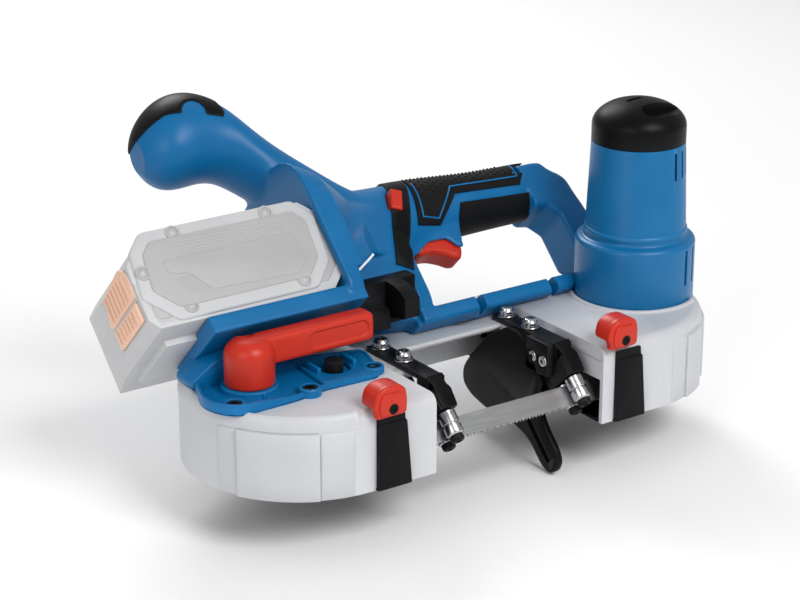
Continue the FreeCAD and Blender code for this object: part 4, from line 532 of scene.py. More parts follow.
def housingShell():
    mesh = cleanCopy("housing_front", "housing_rear")
    raw = bpy.data.meshes.new("housingRaw")
    mesh.to_mesh(raw)
    mesh.free()
    holder = placed("housingRaw", raw)
    drawTogether(holder, housingLook["voxel"])
    blend = holder.vertex_groups.new(name="blend")
    levels = {}
    noseW, noseU = housingLook["lampNose"]
    rimX, rimU = housingLook["pocketRim"]
    for v in holder.data.vertices:
        x, u, w = handleCoords(v.co)
        away = segmentDistance((x, u, w), *housingLook["neck"])
        amount = clamped((housingLook["blendReach"] - away) / housingLook["blendFade"])
        if w > noseW and u < noseU or x < rimX and u < rimU:       # these two stay crisp
            amount = 0
        levels.setdefault(round(amount * 8), []).append(v.index)
    for amount, members in levels.items():
        blend.add(members, amount / 8, "REPLACE")
    softened(holder, housingLook["edgeRounds"])
    softened(holder, housingLook["blendRounds"], "blend")
    holder.data = applied(holder)
    arch = holder.vertex_groups.new(name="arch")
    x0, xRun, u0, uRun = housingLook["archSoft"]
    for v in holder.data.vertices:
        x, u, w = handleCoords(v.co)
        v.co += legShift(x, u)
        if x > x0 and u > u0:
            arch.add([v.index], eased((x - x0) / xRun) * eased((u - u0) / uRun), "REPLACE")
    softened(holder, housingLook["archRounds"], "arch")
    holder.data = applied(holder)
    slots = bmesh.new()
    half = housingLook["slotHalf"]
    for x, low, high in housingLook["slots"]:
        slot = roundRect(x - half, low, x + half, high, half - 0.1)
        slab(slots, slot, handleAxes, sawOrigin, *housingLook["slotDepth"], 0.05, 1)
    cutAway(holder, slots)
    addPiece("housing_shell", released(holder), "saw_body", "housing_blue", ["housing_front", "housing_rear"], 70)


def shellScrews():
    # each screw keeps its form and goes with the shell round it
    mesh = cleanCopy("housing_screws")
    done = set()
    for seed in mesh.verts:
        if seed in done:
            continue
        island, front = [seed], [seed]
        done.add(seed)
        while front:
            v = front.pop()
            for edge in v.link_edges:
                other = edge.other_vert(v)
                if other not in done:
                    done.add(other)
                    island.append(other)
                    front.append(other)
        x, u, w = handleCoords(sum((v.co for v in island), Vector()) / len(island))
        shift = legShift(x, u)
        for v in island:
            v.co += shift
    addPiece("shell_screws", mesh, "saw_body", slotOfNode["housing_screws"], ["housing_screws"], 30)


housingShell()
shellScrews()
print("saw: housing drawn together")

# saw band with its teeth, twisted between the guides

bandLook = {"radius": 54.75, "half": 6.35, "middle": 18.0, "thick": 0.5, "twist": 45, "twistFrom": 85.0,
            "twistTo": 52.0, "pitch": 2.2, "depth": 1.3, "root": 0.03, "set": 0.14, "rake": 0.55}


def bandStation(s):
    # place, width direction and thickness direction on the loop
    radius, middle = bandLook["radius"], bandLook["middle"]

    def roundEnd(x, a):
        out = Vector((math.cos(a), math.sin(a), 0))
        return Vector((x, 0, middle)) + out * radius, upAxis, -out
    if s < 2 * wheelSpan:
        x = -wheelSpan + s
        start, end = bandLook["twistFrom"], bandLook["twistTo"]
        a = math.radians(bandLook["twist"]) * clamped((start - abs(x)) / (start - end))
        wide, thin = Vector((0, math.sin(a), math.cos(a))), Vector((0, math.cos(a), -math.sin(a)))
        return Vector((x, -radius, middle)), wide, thin
    s -= 2 * wheelSpan
    if s < math.pi * radius:
        return roundEnd(wheelSpan, -math.pi / 2 + s / radius)
    s -= math.pi * radius
    if s < 2 * wheelSpan:
        return Vector((wheelSpan - s, radius, middle)), upAxis, -yAxis
    return roundEnd(-wheelSpan, math.pi / 2 + (s - 2 * wheelSpan) / radius)


def sawBand():
    half, thick = bandLook["half"], bandLook["thick"]
    length = 4 * wheelSpan + 2 * math.pi * bandLook["radius"]
    steps = 2 * round(length / bandLook["pitch"])
    gullet = -half + bandLook["depth"]
    mesh = bmesh.new()
    rings = []
    for k in range(steps):
        tip = k % 2
        place, wide, thin = bandStation(length * (k - bandLook["rake"] * tip) / steps % length)
        lean = bandLook["set"] * (1 if k // 2 % 2 else -1) * tip
        low = -half if tip else gullet - bandLook["root"]
        section = ((half, 1, 0), (half, -1, 0), (gullet, -1, 0), (low, -1, lean), (low, 1, lean), (gullet, 1, 0))
        rings.append([mesh.verts.new(sawOrigin + (place + wide * height + thin * (side * thick / 2 + shift))
                                     / 1000) for height, side, shift in section])
    joinAll(mesh, rings, True)
    addPiece("saw_band", mesh, "saw_body", "blade_steel", ["saw_blade"], 5)


sawBand()
print("saw: toothed band laid")

# screws and guide rollers; a head is radius, height, recess form, and shares for recess, its depth and the dome

screwLook = {"guideX": (-41.0, 45.0), "guideY": (8.0, -14.0), "flangeTop": 45.0, "ringTop": 0.0021,
             "guideHead": (4.3, 3.4, "cross", 0.62, 0.5, 0.55),
             "earX": 38.2, "earY": (-27.5, -37.0), "earZ": 34.0, "earHead": (3.8, 2.6, "star", 0.5, 0.5, 0.3),
             "trayPlaces": ((-152, -22, 47.5), (-110, -28, 48.4), (-66, -21, 47.8), (-150, 14, 47.5)),
             "trayHead": (3.8, 2.0, "star", 0.55, 0.7, 0.5), "rollerHead": (3.8, 3.2, "hex", 0.56, 0.6, 0.25),
             "washer": [(2.0, -7), (2.0, 0), (5.2, 0), (5.3, 0.25), (5.3, 0.75), (5.1, 1.0), (2.2, 1.0)],
             "springRing": [(2.2, 1.0), (4.2, 1.0), (4.4, 1.2), (4.4, 1.9), (4.2, 2.1), (2.2, 2.1)]}


def guideScrews():
    mesh = bmesh.new()
    for x in screwLook["guideX"]:
        for y in screwLook["guideY"]:
            foot = sawAt(x, y, screwLook["flangeTop"])
            lathe(mesh, foot, upAxis, screwLook["washer"])
            lathe(mesh, foot, upAxis, screwLook["springRing"], 32)
            screwHead(mesh, foot + upAxis * screwLook["ringTop"], upAxis, *screwLook["guideHead"])
    for y in screwLook["earY"]:
        foot = sawAt(screwLook["earX"], y, screwLook["earZ"])
        lathe(mesh, foot, xAxis, [(0, 0), (2, 0), (2, 3.2), (0, 3.2)], 24)
        screwHead(mesh, foot, -xAxis, *screwLook["earHead"])
    addPiece("guide_screw_set", mesh, "saw_body", "bright_steel", ["bracket_screws"], 30)


def trayScrews():
    mesh = bmesh.new()
    for place in screwLook["trayPlaces"]:
        foot = sawAt(*place)
        lathe(mesh, foot, upAxis, [(0, -9.5), (2, -9.5), (2, 0), (0, 0)], 24)
        screwHead(mesh, foot, upAxis, *screwLook["trayHead"])
    addPiece("tray_screw_set", mesh, "saw_body", "black_steel", ["base_screws"], 30)


rollerLook = {"low": -31.5, "high": -17.3, "radius": 5.0, "bore": 2.1, "front": 56.79, "rear": 46.09,
              "headLow": -31.8}


def guideRollers():
    along = handleAxes[1]
    r, low, high, bore, headLow = (rollerLook[k] for k in ("radius", "low", "high", "bore", "headLow"))
    # bearing ring, groove and the plain sleeve above it
    profile = [(bore, low), (r - 1.1, low), (r - 0.6, low + 0.2), (r - 0.15, low + 0.7), (r, low + 1.1),
               (r, low + 5.6), (r - 0.3, low + 5.9), (r - 0.9, low + 6.0), (r - 0.9, low + 6.6),
               (r - 0.3, low + 6.7), (r, low + 7.0), (r, high - 0.8), (r - 0.5, high - 0.3), (r - 0.9, high),
               (bore, high)]
    screws = bmesh.new()
    for side, x in zip(sides, screwLook["guideX"]):
        for place in ("front", "rear"):
            w = rollerLook[place]
            foot = handleAt(x, 0, w)
            mesh = bmesh.new()
            lathe(mesh, foot, along, profile, 40, True)
            name = f"{side}_{place}_roller"
            addPiece(name + "_turned", mesh, name, "bright_steel", [name], 30)
            lathe(screws, foot, along, [(0, headLow), (2.0, headLow), (2.0, -6), (0, -6)], 24)
            screwHead(screws, handleAt(x, headLow, w), -along, *screwLook["rollerHead"])
    addPiece("roller_screw_set", screws, "saw_body", "black_steel", ["roller_screws"], 30)


guideScrews()
trayScrews()
guideRollers()
print("saw: screws and rollers turned")

# latch tabs: raised finger panel and a star screw on each

tabLook = {"left": -87.5, "right": 66.0, "front": -71.0, "lift": {"left": 0.0, "right": 3.2}, "proud": 1.1,
           "panel": [(-7.8, 44.4), (7.4, 44.4), (7.6, 50.5), (5.6, 56.4), (-6.6, 56.4), (-8.4, 50.5)],
           "screwHeight": 47.8, "screwSink": 0.0001, "screw": (2.2, 0.35, "star", 0.55, 0.9, 0.3),
           "eyelet": [(2.9, -0.5), (2.9, 0.1), (2.6, 0.25), (2.2, 0.1), (2.2, -0.3)]}


def tabDetails():
    for side in sides:
        face = sawAt(tabLook[side], tabLook["front"], tabLook["lift"][side])
        mesh = bmesh.new()
        panel = roundedOutline(tabLook["panel"], 3.2)
        slab(mesh, panel, (xAxis, upAxis, -yAxis), face, -1.2, tabLook["proud"], 0.7)
        addPiece(side + "_tab_panel", mesh, side + "_latch", "signal_red")
        mesh = bmesh.new()
        foot = face + Vector((0, -tabLook["proud"], tabLook["screwHeight"])) / 1000
        lathe(mesh, foot, -yAxis, tabLook["eyelet"], 32)
        screwHead(mesh, foot - yAxis * tabLook["screwSink"], -yAxis, *tabLook["screw"])
        addPiece(side + "_tab_screw", mesh, side + "_latch", "black_steel", (), 30)


tabDetails()

# pale covers: proud wall panels, given as start, end, rise and top, with rim and motor beads

coverLook = {"radius": 65.5, "low": 1.6, "top": 46.0, "sunk": 0.25, "thick": 0.9,
             "leftPanels": ((196.5, 207.3, 0.9, 38.5), (207.3, 245.6, 2.3, 39.2), (245.6, 262.0, 0.6, 38.0)),
             "rightPanels": ((278.0, 289.0, 0.9, 38.5), (289.0, 306.0, 2.2, 39.0), (318.0, 352.0, 1.8, 38.5)),
             "rim": [(-5.2, -1.2), (-5.0, 0.2), (-4.4, 1.1), (-3.2, 1.5), (-1.9, 1.1), (-0.7, -0.3), (-0.1, -2.2),
                     (0.3, -4.6), (0.3, -6.4), (-0.6, -6.8), (-2.4, -4.0)],
             "motorBead": [(-0.8, -0.3), (-0.8, 0.6), (-0.4, 1.2), (0.6, 1.4), (1.6, 1.2), (2.0, 0.6),
                           (2.0, -0.3)],
             "beadRadius": 35.6, "beadWithin": 60, "rimArc": (150, 114, 60), "beadArc": (100, 340, 96)}


def bentPanel(mesh, side, start, end, proud, high):
    # a proud field on a cover's round wall, with its border sunk into the wall
    radius, low = coverLook["radius"], coverLook["low"]
    centre = Vector((wheelSpan * side, 0, 0))
    span = math.radians(end - start) * radius
    flat = [0, 0.25, 0.7, 1.3]
    across = flat + [1.3 + (span - 2.6) * k / 20 for k in range(1, 20)] + [span - c for c in reversed(flat)]
    upward = [low, low + 0.3, low + 0.8] + [low + 0.8 + (high - low - 1.6) * k / 4 for k in range(1, 4)]
    upward += [high - 0.8, high - 0.3, high]

    def rise(c, size):
        edge = min(c, size - c)
        if edge < 0.01:
            return -coverLook["sunk"]
        return proud - (0.45 if edge < 0.31 else 0.1 if edge < 0.85 else 0)
    outer, inner = [], []
    for c in across:
        turn = math.radians(start) + c / radius
        out = Vector((math.cos(turn), math.sin(turn), 0))
        column, back = [], []
        for z in upward:
            lift = min(rise(c, span), rise(z - low, high - low))
            for line, reach in ((column, radius + lift), (back, radius - coverLook["thick"])):
                line.append(mesh.verts.new(sawOrigin + (centre + out * reach + Vector((0, 0, z))) / 1000))
        outer.append(column)
        inner.append(back)
    count, rows = len(across), len(upward)
    for i in range(count - 1):
        for j in range(rows - 1):
            mesh.faces.new([outer[i][j], outer[i + 1][j], outer[i + 1][j + 1], outer[i][j + 1]])
            mesh.faces.new([inner[i][j + 1], inner[i + 1][j + 1], inner[i + 1][j], inner[i][j]])
    border = [(i, 0) for i in range(count)] + [(count - 1, j) for j in range(1, rows)]
    border += [(i, rows - 1) for i in range(count - 2, -1, -1)] + [(0, j) for j in range(rows - 2, 0, -1)]
    for (a, b), (c, d) in zip(border, border[1:] + border[:1]):
        mesh.faces.new([outer[a][b], inner[a][b], inner[c][d], outer[c][d]])


def sweptBead(mesh, path, profile):
    # path: points with an outward direction; profile: outward and upward offsets of a closed section
    capped(mesh, [[mesh.verts.new(sawOrigin + (Vector(point) + Vector(out) * a + Vector((0, 0, b))) / 1000)
                   for a, b in profile] for point, out in path])


def arcPath(centre, radius, start, sweep, steps):
    path = []
    for k in range(steps + 1):
        turn = math.radians(start + sweep * k / steps)
        out = (math.cos(turn), math.sin(turn), 0)
        path.append(((centre[0] + radius * out[0], centre[1] + radius * out[1], coverLook["top"]), out))
    return path


def coverDetails():
    mesh = bmesh.new()
    for panel in coverLook["leftPanels"]:
        bentPanel(mesh, -1, *panel)
    sweptBead(mesh, arcPath((-wheelSpan, 0), coverLook["radius"], *coverLook["rimArc"]), coverLook["rim"])
    addPiece("left_cover_relief", mesh, "saw_body", "cover_grey", (), 40)
    mesh = bmesh.new()
    for panel in coverLook["rightPanels"]:
        bentPanel(mesh, 1, *panel)
    collar = arcPath(motorAxis, coverLook["beadRadius"], *coverLook["beadArc"])     # round the motor's foot
    kept = [c for c in collar if (Vector(c[0][:2]) - Vector((wheelSpan, 0))).length < coverLook["beadWithin"]]
    sweptBead(mesh, kept, coverLook["motorBead"])
    addPiece("right_cover_relief", mesh, "saw_body", "cover_grey", (), 40)


coverDetails()
print("saw: covers and latch tabs detailed")

# tension lever: domed boss and arm in one red moulding, with a thumb panel and a screw pocket

leverLook = {"place": (-133, -6), "low": 50.7, "radius": 13.4, "dome": 9.0, "top": 75.6, "armLow": 59.6,
             "tip": -58.2, "front": -12.0, "back": 0.0, "panel": (-99.5, 63.4, -62.0, 72.4), "panelDepth": 0.9,
             "pocket": (-131.4, -0.2), "pocketRadius": 4.5, "pocketFloor": 68.8,
             "pocketWasher": [(0, -0.4), (4.4, -0.4), (4.4, 0.2), (3.6, 0.4), (0, 0.4)],
             "washerTop": 0.0004, "pocketScrew": (3.3, 3.6, "cross", 0.5, 0.5, 0.85)}


def tensionLever():
    x, y = leverLook["place"]
    px, py = leverLook["pocket"]
    r, dome, top, low, front = (leverLook[k] for k in ("radius", "dome", "top", "low", "front"))
    pocket, floor = leverLook["pocketRadius"], leverLook["pocketFloor"]
    mesh = bmesh.new()
    profile = [(0, low), (r - 0.6, low), (r, low + 0.6), (r, top - dome)]
    for k in range(1, 9):
        turn = math.radians(90 * k / 8)
        profile.append((r - dome + dome * math.cos(turn), top - dome + dome * math.sin(turn)))
    lathe(mesh, sawAt(x, y, 0), upAxis, profile + [(0, top + 0.3)], 72)
    arm = roundRect(x - 1, leverLook["armLow"], leverLook["tip"], top + 0.2, 3.4)
    slab(mesh, arm, sideAxes, sawOrigin, front, leverLook["back"], 2.6, 4)
    holder = holderOf("leverForm", mesh)
    drawTogether(holder, 0.5, 7)
    hollows = bmesh.new()
    panel = roundRect(*leverLook["panel"], 4.2)
    slab(hollows, panel, sideAxes, sawOrigin, front - 4, front + leverLook["panelDepth"], 0.2, 1)
    lathe(hollows, sawAt(px, py, 0), upAxis, [(0, floor), (pocket, floor), (pocket, top + 8), (0, top + 8)], 40)
    cutAway(holder, hollows)
    drawTogether(holder, 0.42, 3)
    lever = released(holder)
    addPiece("tension_lever_moulding", lever, "blade_tension_lever", "signal_red", ["tension_lever"], 50)
    mesh = bmesh.new()
    foot = sawAt(px, py, floor)
    lathe(mesh, foot, upAxis, leverLook["pocketWasher"], 32)
    screwHead(mesh, foot + upAxis * leverLook["washerTop"], upAxis, *leverLook["pocketScrew"])
    addPiece("lever_pocket_screw", mesh, "blade_tension_lever", "black_steel", (), 30)


tensionLever()
print("saw: lever moulded")

# blue tray under the lever: floor, wall, lever seat, bolt platform, ribs and screw bosses

trayLook = {"outline": [(-150, 22), (-158, 8), (-161, 0), (-165, -12), (-163.5, -22), (-159.6, -28.8),
                        (-153.5, -33.2), (-118, -32.2), (-103.5, -28.5), (-69, -29.8), (-64.5, -26),
                        (-57, -2.2), (-58, 4)],
            "sole": 46.05, "under": 46.1, "floor": 47.2, "rim": 49.6, "leftRise": 2.6, "riseFrom": -118,
            "riseRun": 34, "wall": 1.9, "seat": 15.4, "seatTop": 50.6, "seatBore": 4.2,
            "platform": [(-100.5, -26.6), (-69.5, -28.0), (-66, -24.8), (-59.4, -2.6), (-60, 2.4), (-74.6, 2.4),
                         (-74.9, -11), (-77.5, -17.6), (-84, -20.2), (-90.5, -17.6), (-93.1, -11), (-93.4, 2.4),
                         (-98, 2.4)],
            "ribs": (((-96.3, -14.5, -94.1, -1.5, 0.6), 47, 52.6), ((-73.9, -14.5, -71.7, -1.5, 0.6), 47, 52.6),
                     ((-134.7, -22.6, -132.5, -19.5, 0.7), 46.6, 50.2), ((-127, 6, -97, 8.4, 0.7), 46.6, 51.4)),
            "boss": [(6.1, 1.7), (5.7, 2.2), (4.6, 2.3), (4.2, 2.0), (4.1, -0.1), (2.1, -0.1)]}


def leverTray():
    mesh = bmesh.new()
    under, wall, seat, seatTop, bore = (trayLook[k] for k in ("under", "wall", "seat", "seatTop", "seatBore"))
    outline = roundedOutline(trayLook["outline"], 7, 4)
    slab(mesh, outline, sawAxes, sawOrigin, trayLook["sole"], trayLook["floor"], 0.2, 1)
    rings = []
    for inset, drop in ((0, None), (0, 0.5), (0.15, 0.15), (0.5, 0), (wall - 0.5, 0), (wall - 0.15, 0.15),
                        (wall, 0.5), (wall, None)):       # None stands on the tray's underside
        ring = []
        for x, y in insetOutline(outline, inset):
            rim = trayLook["rim"] + trayLook["leftRise"] * eased((trayLook["riseFrom"] - x) / trayLook["riseRun"])
            ring.append(mesh.verts.new(sawAt(x, y, under if drop is None else rim - drop)))
        rings.append(ring)
    joinAll(mesh, rings, True)
    lathe(mesh, sawAt(*leverLook["place"], 0), upAxis,
          [(bore, under), (seat + 0.5, under), (seat + 0.2, 47.6), (seat, 48.2), (seat, seatTop - 0.6),
           (seat - 0.6, seatTop), (bore, seatTop)], 64)
    slab(mesh, roundedOutline(trayLook["platform"], 2.2, 3), sawAxes, sawOrigin, under, trayLook["rim"], 0.7)
    for form, low, high in trayLook["ribs"]:
        slab(mesh, roundRect(*form), sawAxes, sawOrigin, low, high, 0.4)
    for x, y, foot in screwLook["trayPlaces"]:
        boss = [(r, foot + rise) for r, rise in trayLook["boss"]]
        lathe(mesh, sawAt(x, y, 0), upAxis, [(2.1, under), (6.1, under)] + boss, 40)
    addPiece("lever_tray", mesh, "saw_body", "housing_blue", ["idler_base"], 35)


leverTray()
print("saw: tray walled")

# motor: domed end cap with cooling slots, tapered can, bead at its foot, and thin black sleeves behind the slots
# as painted shade

motorLook = {"seam": 138.05, "canRadius": 27.8, "radius": 26.9, "footGrowth": 2.0, "footHeight": 88.0,
             "canSkin": 26.5, "shoulder": 147.0, "dome": 15.0, "hollow": (25.4, 136.05, 145.0, 9.0),
             "above": 172, "slotFloor": 155.9,
             "slots": ((-10.6, 4.6, 13.0, 2.8), (-8.8, 2.4, 1.0, 2.8), (11.5, 20.5, 6.5, 2.8)),
             "scoop": (-9.5, -20.4, 25, -9.2, 5.2), "scoopFloor": 155.2,
             "bead": [(27.5, 88.6), (29.2, 88.0), (29.7, 86.9), (29.8, 86.0), (29.5, 85.0), (29.3, 84.0),
                      (29.6, 83.0), (30.3, 82.3), (31.4, 82.05), (31.4, 80.4), (27.5, 80.4)],
             "liners": ((25.45, 116.0, 136.5), (32.3, 50.0, 77.0)), "shadeSleeveWall": 0.25}


def domeProfile(radius, low, shoulder, rise):
    profile = [(0, low), (radius - 0.4, low), (radius, low + 0.4), (radius, shoulder)]
    for k in range(1, 15):
        turn = math.radians(90 * k / 15)
        profile.append((radius * math.cos(turn), shoulder + rise * math.sin(turn)))
    return profile + [(0, shoulder + rise)]


def motorDress():
    foot = sawAt(*motorAxis, 0)
    radius, seam, above = (motorLook[k] for k in ("radius", "seam", "above"))
    mesh = bmesh.new()
    lathe(mesh, foot, upAxis, domeProfile(radius, seam, motorLook["shoulder"], motorLook["dome"]), 96)
    holder = holderOf("capForm", mesh)
    hollows = bmesh.new()
    lathe(hollows, foot, upAxis, domeProfile(*motorLook["hollow"]), 64)
    for x0, x1, row, width in motorLook["slots"]:
        slot = roundRect(x0, row - width / 2, x1, row + width / 2, width / 2 - 0.02)
        slab(hollows, slot, sawAxes, foot, motorLook["slotFloor"], above, 0.05, 1)
    slab(hollows, roundRect(*motorLook["scoop"]), sawAxes, foot, motorLook["scoopFloor"], above, 0.05, 1)
    cutAway(holder, hollows)
    mesh = bmesh.new()
    mesh.from_mesh(released(holder))
    bmesh.ops.remove_doubles(mesh, verts=mesh.verts, dist=2e-5)
    addPiece("motor_cap_dome", mesh, "saw_body", "black_plastic", ["motor_end_cap"], 40)
    mesh = bmesh.new()
    lathe(mesh, foot, upAxis, motorLook["bead"], 96, True)
    addPiece("motor_foot_bead", mesh, "saw_body", "motor_blue", (), 60)
    mesh = bevelled(cleanCopy("motor_housing"), 0.5)
    for v in mesh.verts:         # the can tapers towards its cap
        out = Vector((v.co.x - foot.x, v.co.y - foot.y, 0))
        height = (v.co.z - foot.z) * 1000
        if out.length > motorLook["canSkin"] / 1000:
            low = (seam - height) / (seam - motorLook["footHeight"])
            v.co += out * ((radius + motorLook["footGrowth"] * low) / motorLook["canRadius"] - 1)
    addPiece("motor_can", mesh, "saw_body", "motor_blue", ["motor_housing"], 35)
    # thin black sleeves inside the motor: painted shade seen through its slots and openings
    mesh = bmesh.new()
    for inside, low, high in motorLook["liners"]:
        outside = inside + motorLook["shadeSleeveWall"]
        lathe(mesh, foot, upAxis, [(inside, low), (outside, low), (outside, high), (inside, high)], 96, True)
    addPiece("motor_shade_sleeves", mesh, "saw_body", "black_plastic", (), 35)


motorDress()
print("saw: motor cap domed")

# battery: bevelled front plate, bare panel with fine ribs, screws, and the ribbed end pads

batteryLook = {"plate": [(-167, 121), (-177.2, 110.5), (-180.3, 84), (-164, 67.8), (-79.6, 68.6), (-66.5, 82.5),
                         (-64, 110.5), (-73.9, 121.3)],
               "back": 53.0, "face": 56.6, "panelFace": 57.5, "panelInset": 6.6, "ribWidth": 0.7,
               "lines": ((-151.2, 110.8, -83.5, 109.9), (-153.5, 108.9, -84.5, 108.3),
                         (-155.8, 106.9, -85.5, 106.8), (-158.2, 104.9, -86.6, 105.3)),
               "field": [(-162, 101.5), (-83, 102.4), (-80.5, 86.5), (-87.8, 78.5), (-140.6, 80.2), (-149.5, 92.2),
                         (-160.5, 93.5)],
               "screws": ((-174.2, 97.6), (-155.7, 74.4), (-86.8, 74.3), (-149, 116.6), (-92, 116.8)),
               "eyelet": [(4.2, -1.5), (4.2, 0.5), (3.9, 0.8), (3.2, 0.7), (3.0, -0.4)],
               "endPad": [(107.3, 46), (101, 52.6), (87.2, 52.6), (87.2, 15.2), (91, 13.4), (104.8, 22)],
               "end": -181.0, "padRibs": (7, 20.0, 4.6), "buttonRibs": (7, 20.5, 4.5),
               "fan": ((-159.2, 9.7), (90, 1.5), (-151.3, 8.8), (80.9, -0.7)),
               "screwSink": 0.0004, "screwHead": (3.0, 0.7, "star", 0.6, 0.9, 0.3)}


def ribBetween(mesh, x0, u0, x1, u1):
    a, b = Vector((x0, u0)), Vector((x1, u1))
    width, face = batteryLook["ribWidth"], batteryLook["panelFace"]
    along = (b - a).normalized()
    aside = Vector((-along.y, along.x)) * (width / 2)
    corners = [a - aside, b - aside, b + aside, a + aside]
    slab(mesh, [(c.x, c.y) for c in corners], handleAxes, sawOrigin, face - 0.5, face + 0.3, width * 0.3, 2)


def batteryDress():
    back, face = batteryLook["back"], batteryLook["panelFace"]
    mesh = bmesh.new()
    plate = roundedOutline(batteryLook["plate"], 2.5, 3)
    slab(mesh, plate, handleAxes, sawOrigin, back, batteryLook["face"], 1.6, 3)
    addPiece("battery_front_plate", mesh, "battery", "battery_grey", (), 50)
    mesh = bmesh.new()
    panel = roundedOutline(insetOutline(batteryLook["plate"], batteryLook["panelInset"]), 2, 3)
    slab(mesh, panel, handleAxes, sawOrigin, back, face, 1.1, 3)
    for line in batteryLook["lines"]:
        ribBetween(mesh, *line)
    for k in range(5):       # fan of short ribs in the lower left corner
        t = k / 4
        ribBetween(mesh, *(first + step * t for first, step in batteryLook["fan"]))
    slab(mesh, roundedOutline(batteryLook["field"], 2.4, 3), handleAxes, sawOrigin, face - 1, face + 0.45, 0.4)
    addPiece("battery_front_panel", mesh, "battery", "battery_panel", (), 40)
    mesh = bmesh.new()
    out = handleAxes[2]
    for x, u in batteryLook["screws"]:
        foot = handleAt(x, u, batteryLook["face"])
        lathe(mesh, foot, out, batteryLook["eyelet"], 32)
        screwHead(mesh, foot - out * batteryLook["screwSink"], out, *batteryLook["screwHead"])
    addPiece("battery_front_screws", mesh, "battery", "battery_panel", (), 30)
    endAxes = (handleAxes[1], handleAxes[2], -xAxis)
    origin = sawOrigin + Vector((batteryLook["end"] / 1000, 0, 0))
    mesh = bmesh.new()
    slab(mesh, roundedOutline(batteryLook["endPad"], 2.5, 3), endAxes, origin, -0.9, 0.8, 0.5)
    count, first, pitch = batteryLook["padRibs"]
    for k in range(count):
        w = first + pitch * k
        right = 103.5 if k < count - 1 else 101         # the last rib is cut short by the pad's corner
        slab(mesh, roundRect(89, w - 0.9, right, w + 0.9, 0.8), endAxes, origin, -0.5, 1.6, 0.5)
    addPiece("battery_end_pad", mesh, "battery", "battery_orange", (), 50)
    mesh = bmesh.new()
    count, first, pitch = batteryLook["buttonRibs"]
    for k in range(count):
        w = first + pitch * k
        slab(mesh, roundRect(75.4, w - 0.8, 83.6, w + 0.8, 0.7), endAxes, origin, 1.0, 2.3, 0.4)
    addPiece("battery_button_ribs", mesh, "battery_button", "battery_orange", (), 50)


batteryDress()
print("saw: battery faced")

# latches: rounded finger tabs, and straps that narrow towards the top

latchLook = {"outline": [(-9.3, 42.9), (9.3, 43.1), (9.7, 52), (8.4, 57.6), (4.2, 59.8), (-4.5, 59.8),
                         (-9.4, 56.4), (-11.3, 49.5), (-9.5, 46.4)],
             "roof": [(-9.3, 47.2), (9.3, 47.2), (9.7, 52), (8.4, 57.6), (4.2, 59.8), (-4.5, 59.8), (-9.4, 56.4),
                      (-10.8, 50)],
             "inside": -65.95, "back": -57.2, "overlap": 2.6,
             "strap": {"left": [(-94.2, 1.7), (-73.2, 1.7), (-76.4, 38.4), (-93.8, 38.4)],
                       "right": [(63.8, 1.7), (84.8, 1.7), (81.6, 38.4), (64.2, 38.4)]},
             "strapFront": -68.4, "strapBack": -66.6, "taper": 3.4, "taperFrom": 2.0, "taperRise": 40.0}


def latchForms():
    inside = latchLook["inside"]
    for side in sides:
        place = sawAt(tabLook[side], 0, tabLook["lift"][side])
        mesh = bmesh.new()
        for key, front, back, edge in (("outline", tabLook["front"], inside, 1.5),
                                       ("roof", inside - latchLook["overlap"], latchLook["back"], 1.6)):
            slab(mesh, roundedOutline(latchLook[key], 2.6, 3), sideAxes, place, front, back, edge, 4)
        addPiece(side + "_finger_tab", mesh, side + "_latch", "signal_red", [side + "_latch_tab"], 55)
        strap = side + "_latch_strap"
        mesh = cleanCopy(strap)
        low = min(v.co.x for v in mesh.verts)
        wide = max(v.co.x for v in mesh.verts) - low
        for v in mesh.verts:
            rise = clamped(((v.co * 1000 - datum)[2] - latchLook["taperFrom"]) / latchLook["taperRise"])
            v.co.x -= latchLook["taper"] / 1000 * rise * (v.co.x - low) / wide
        addPiece(side + "_strap", bevelled(mesh, 0.5), side + "_latch", slotOfNode[strap], [strap], 40)
        mesh = bmesh.new()
        slab(mesh, roundedOutline(latchLook["strap"][side], 1.0, 2), sideAxes, sawOrigin, latchLook["strapFront"],
             latchLook["strapBack"], 0.45)
        addPiece(side + "_strap_face", mesh, side + "_latch", "black_plastic", (), 40)


latchForms()
print("saw: latches formed")

# grip: soft skin with raised dots and the blue inlay line

gripLook = {"inlay": [(22.3, 128.5), (22.1, 126.7), (18.2, 105.3), (29.0, 103.0), (43.9, 120.1), (65.8, 119.0),
                      (92.6, 118.4), (94.6, 129)],
            "dotted": [(24.2, 141), (21.0, 107.0), (28.4, 105.6), (42.0, 122.3), (66, 121.8), (89.6, 121.0),
                       (89.6, 141)],
            "pitch": 3.9, "dot": 0.8, "dotFrom": 20.5, "dotRun": 72, "middle": (114.0, 15.0), "line": 0.5,
            "dotForm": [(1, 0), (0.9, 0.51), (0.55, 0.816), (0, 0.952)], "dotsRound": 15, "dotSink": 0.0003,
            "firstTurn": -20, "turnStep": 11.5, "stagger": 5.7, "split": 110.5, "lowReach": 8.0,
            "topReach": 8.5, "topFrom": (117, 11), "reachFrom": (72, 16)}


def within(point, outline):
    inside = False
    for (ax, ay), (bx, by) in zip(outline, outline[1:] + outline[:1]):
        if (ay > point[1]) != (by > point[1]) and point[0] < (bx - ax) * (point[1] - ay) / (by - ay) + ax:
            inside = not inside
    return inside


def tubeAlong(mesh, places, normals, radius, corners=8):
    rings = []
    for k, place in enumerate(places):
        along = (places[min(k + 1, len(places) - 1)] - places[max(k - 1, 0)]).normalized()
        out = (normals[k] - along * normals[k].dot(along)).normalized()
        rings.append(turnedRing(mesh, place, out, along.cross(out), radius, corners))
    capped(mesh, rings)


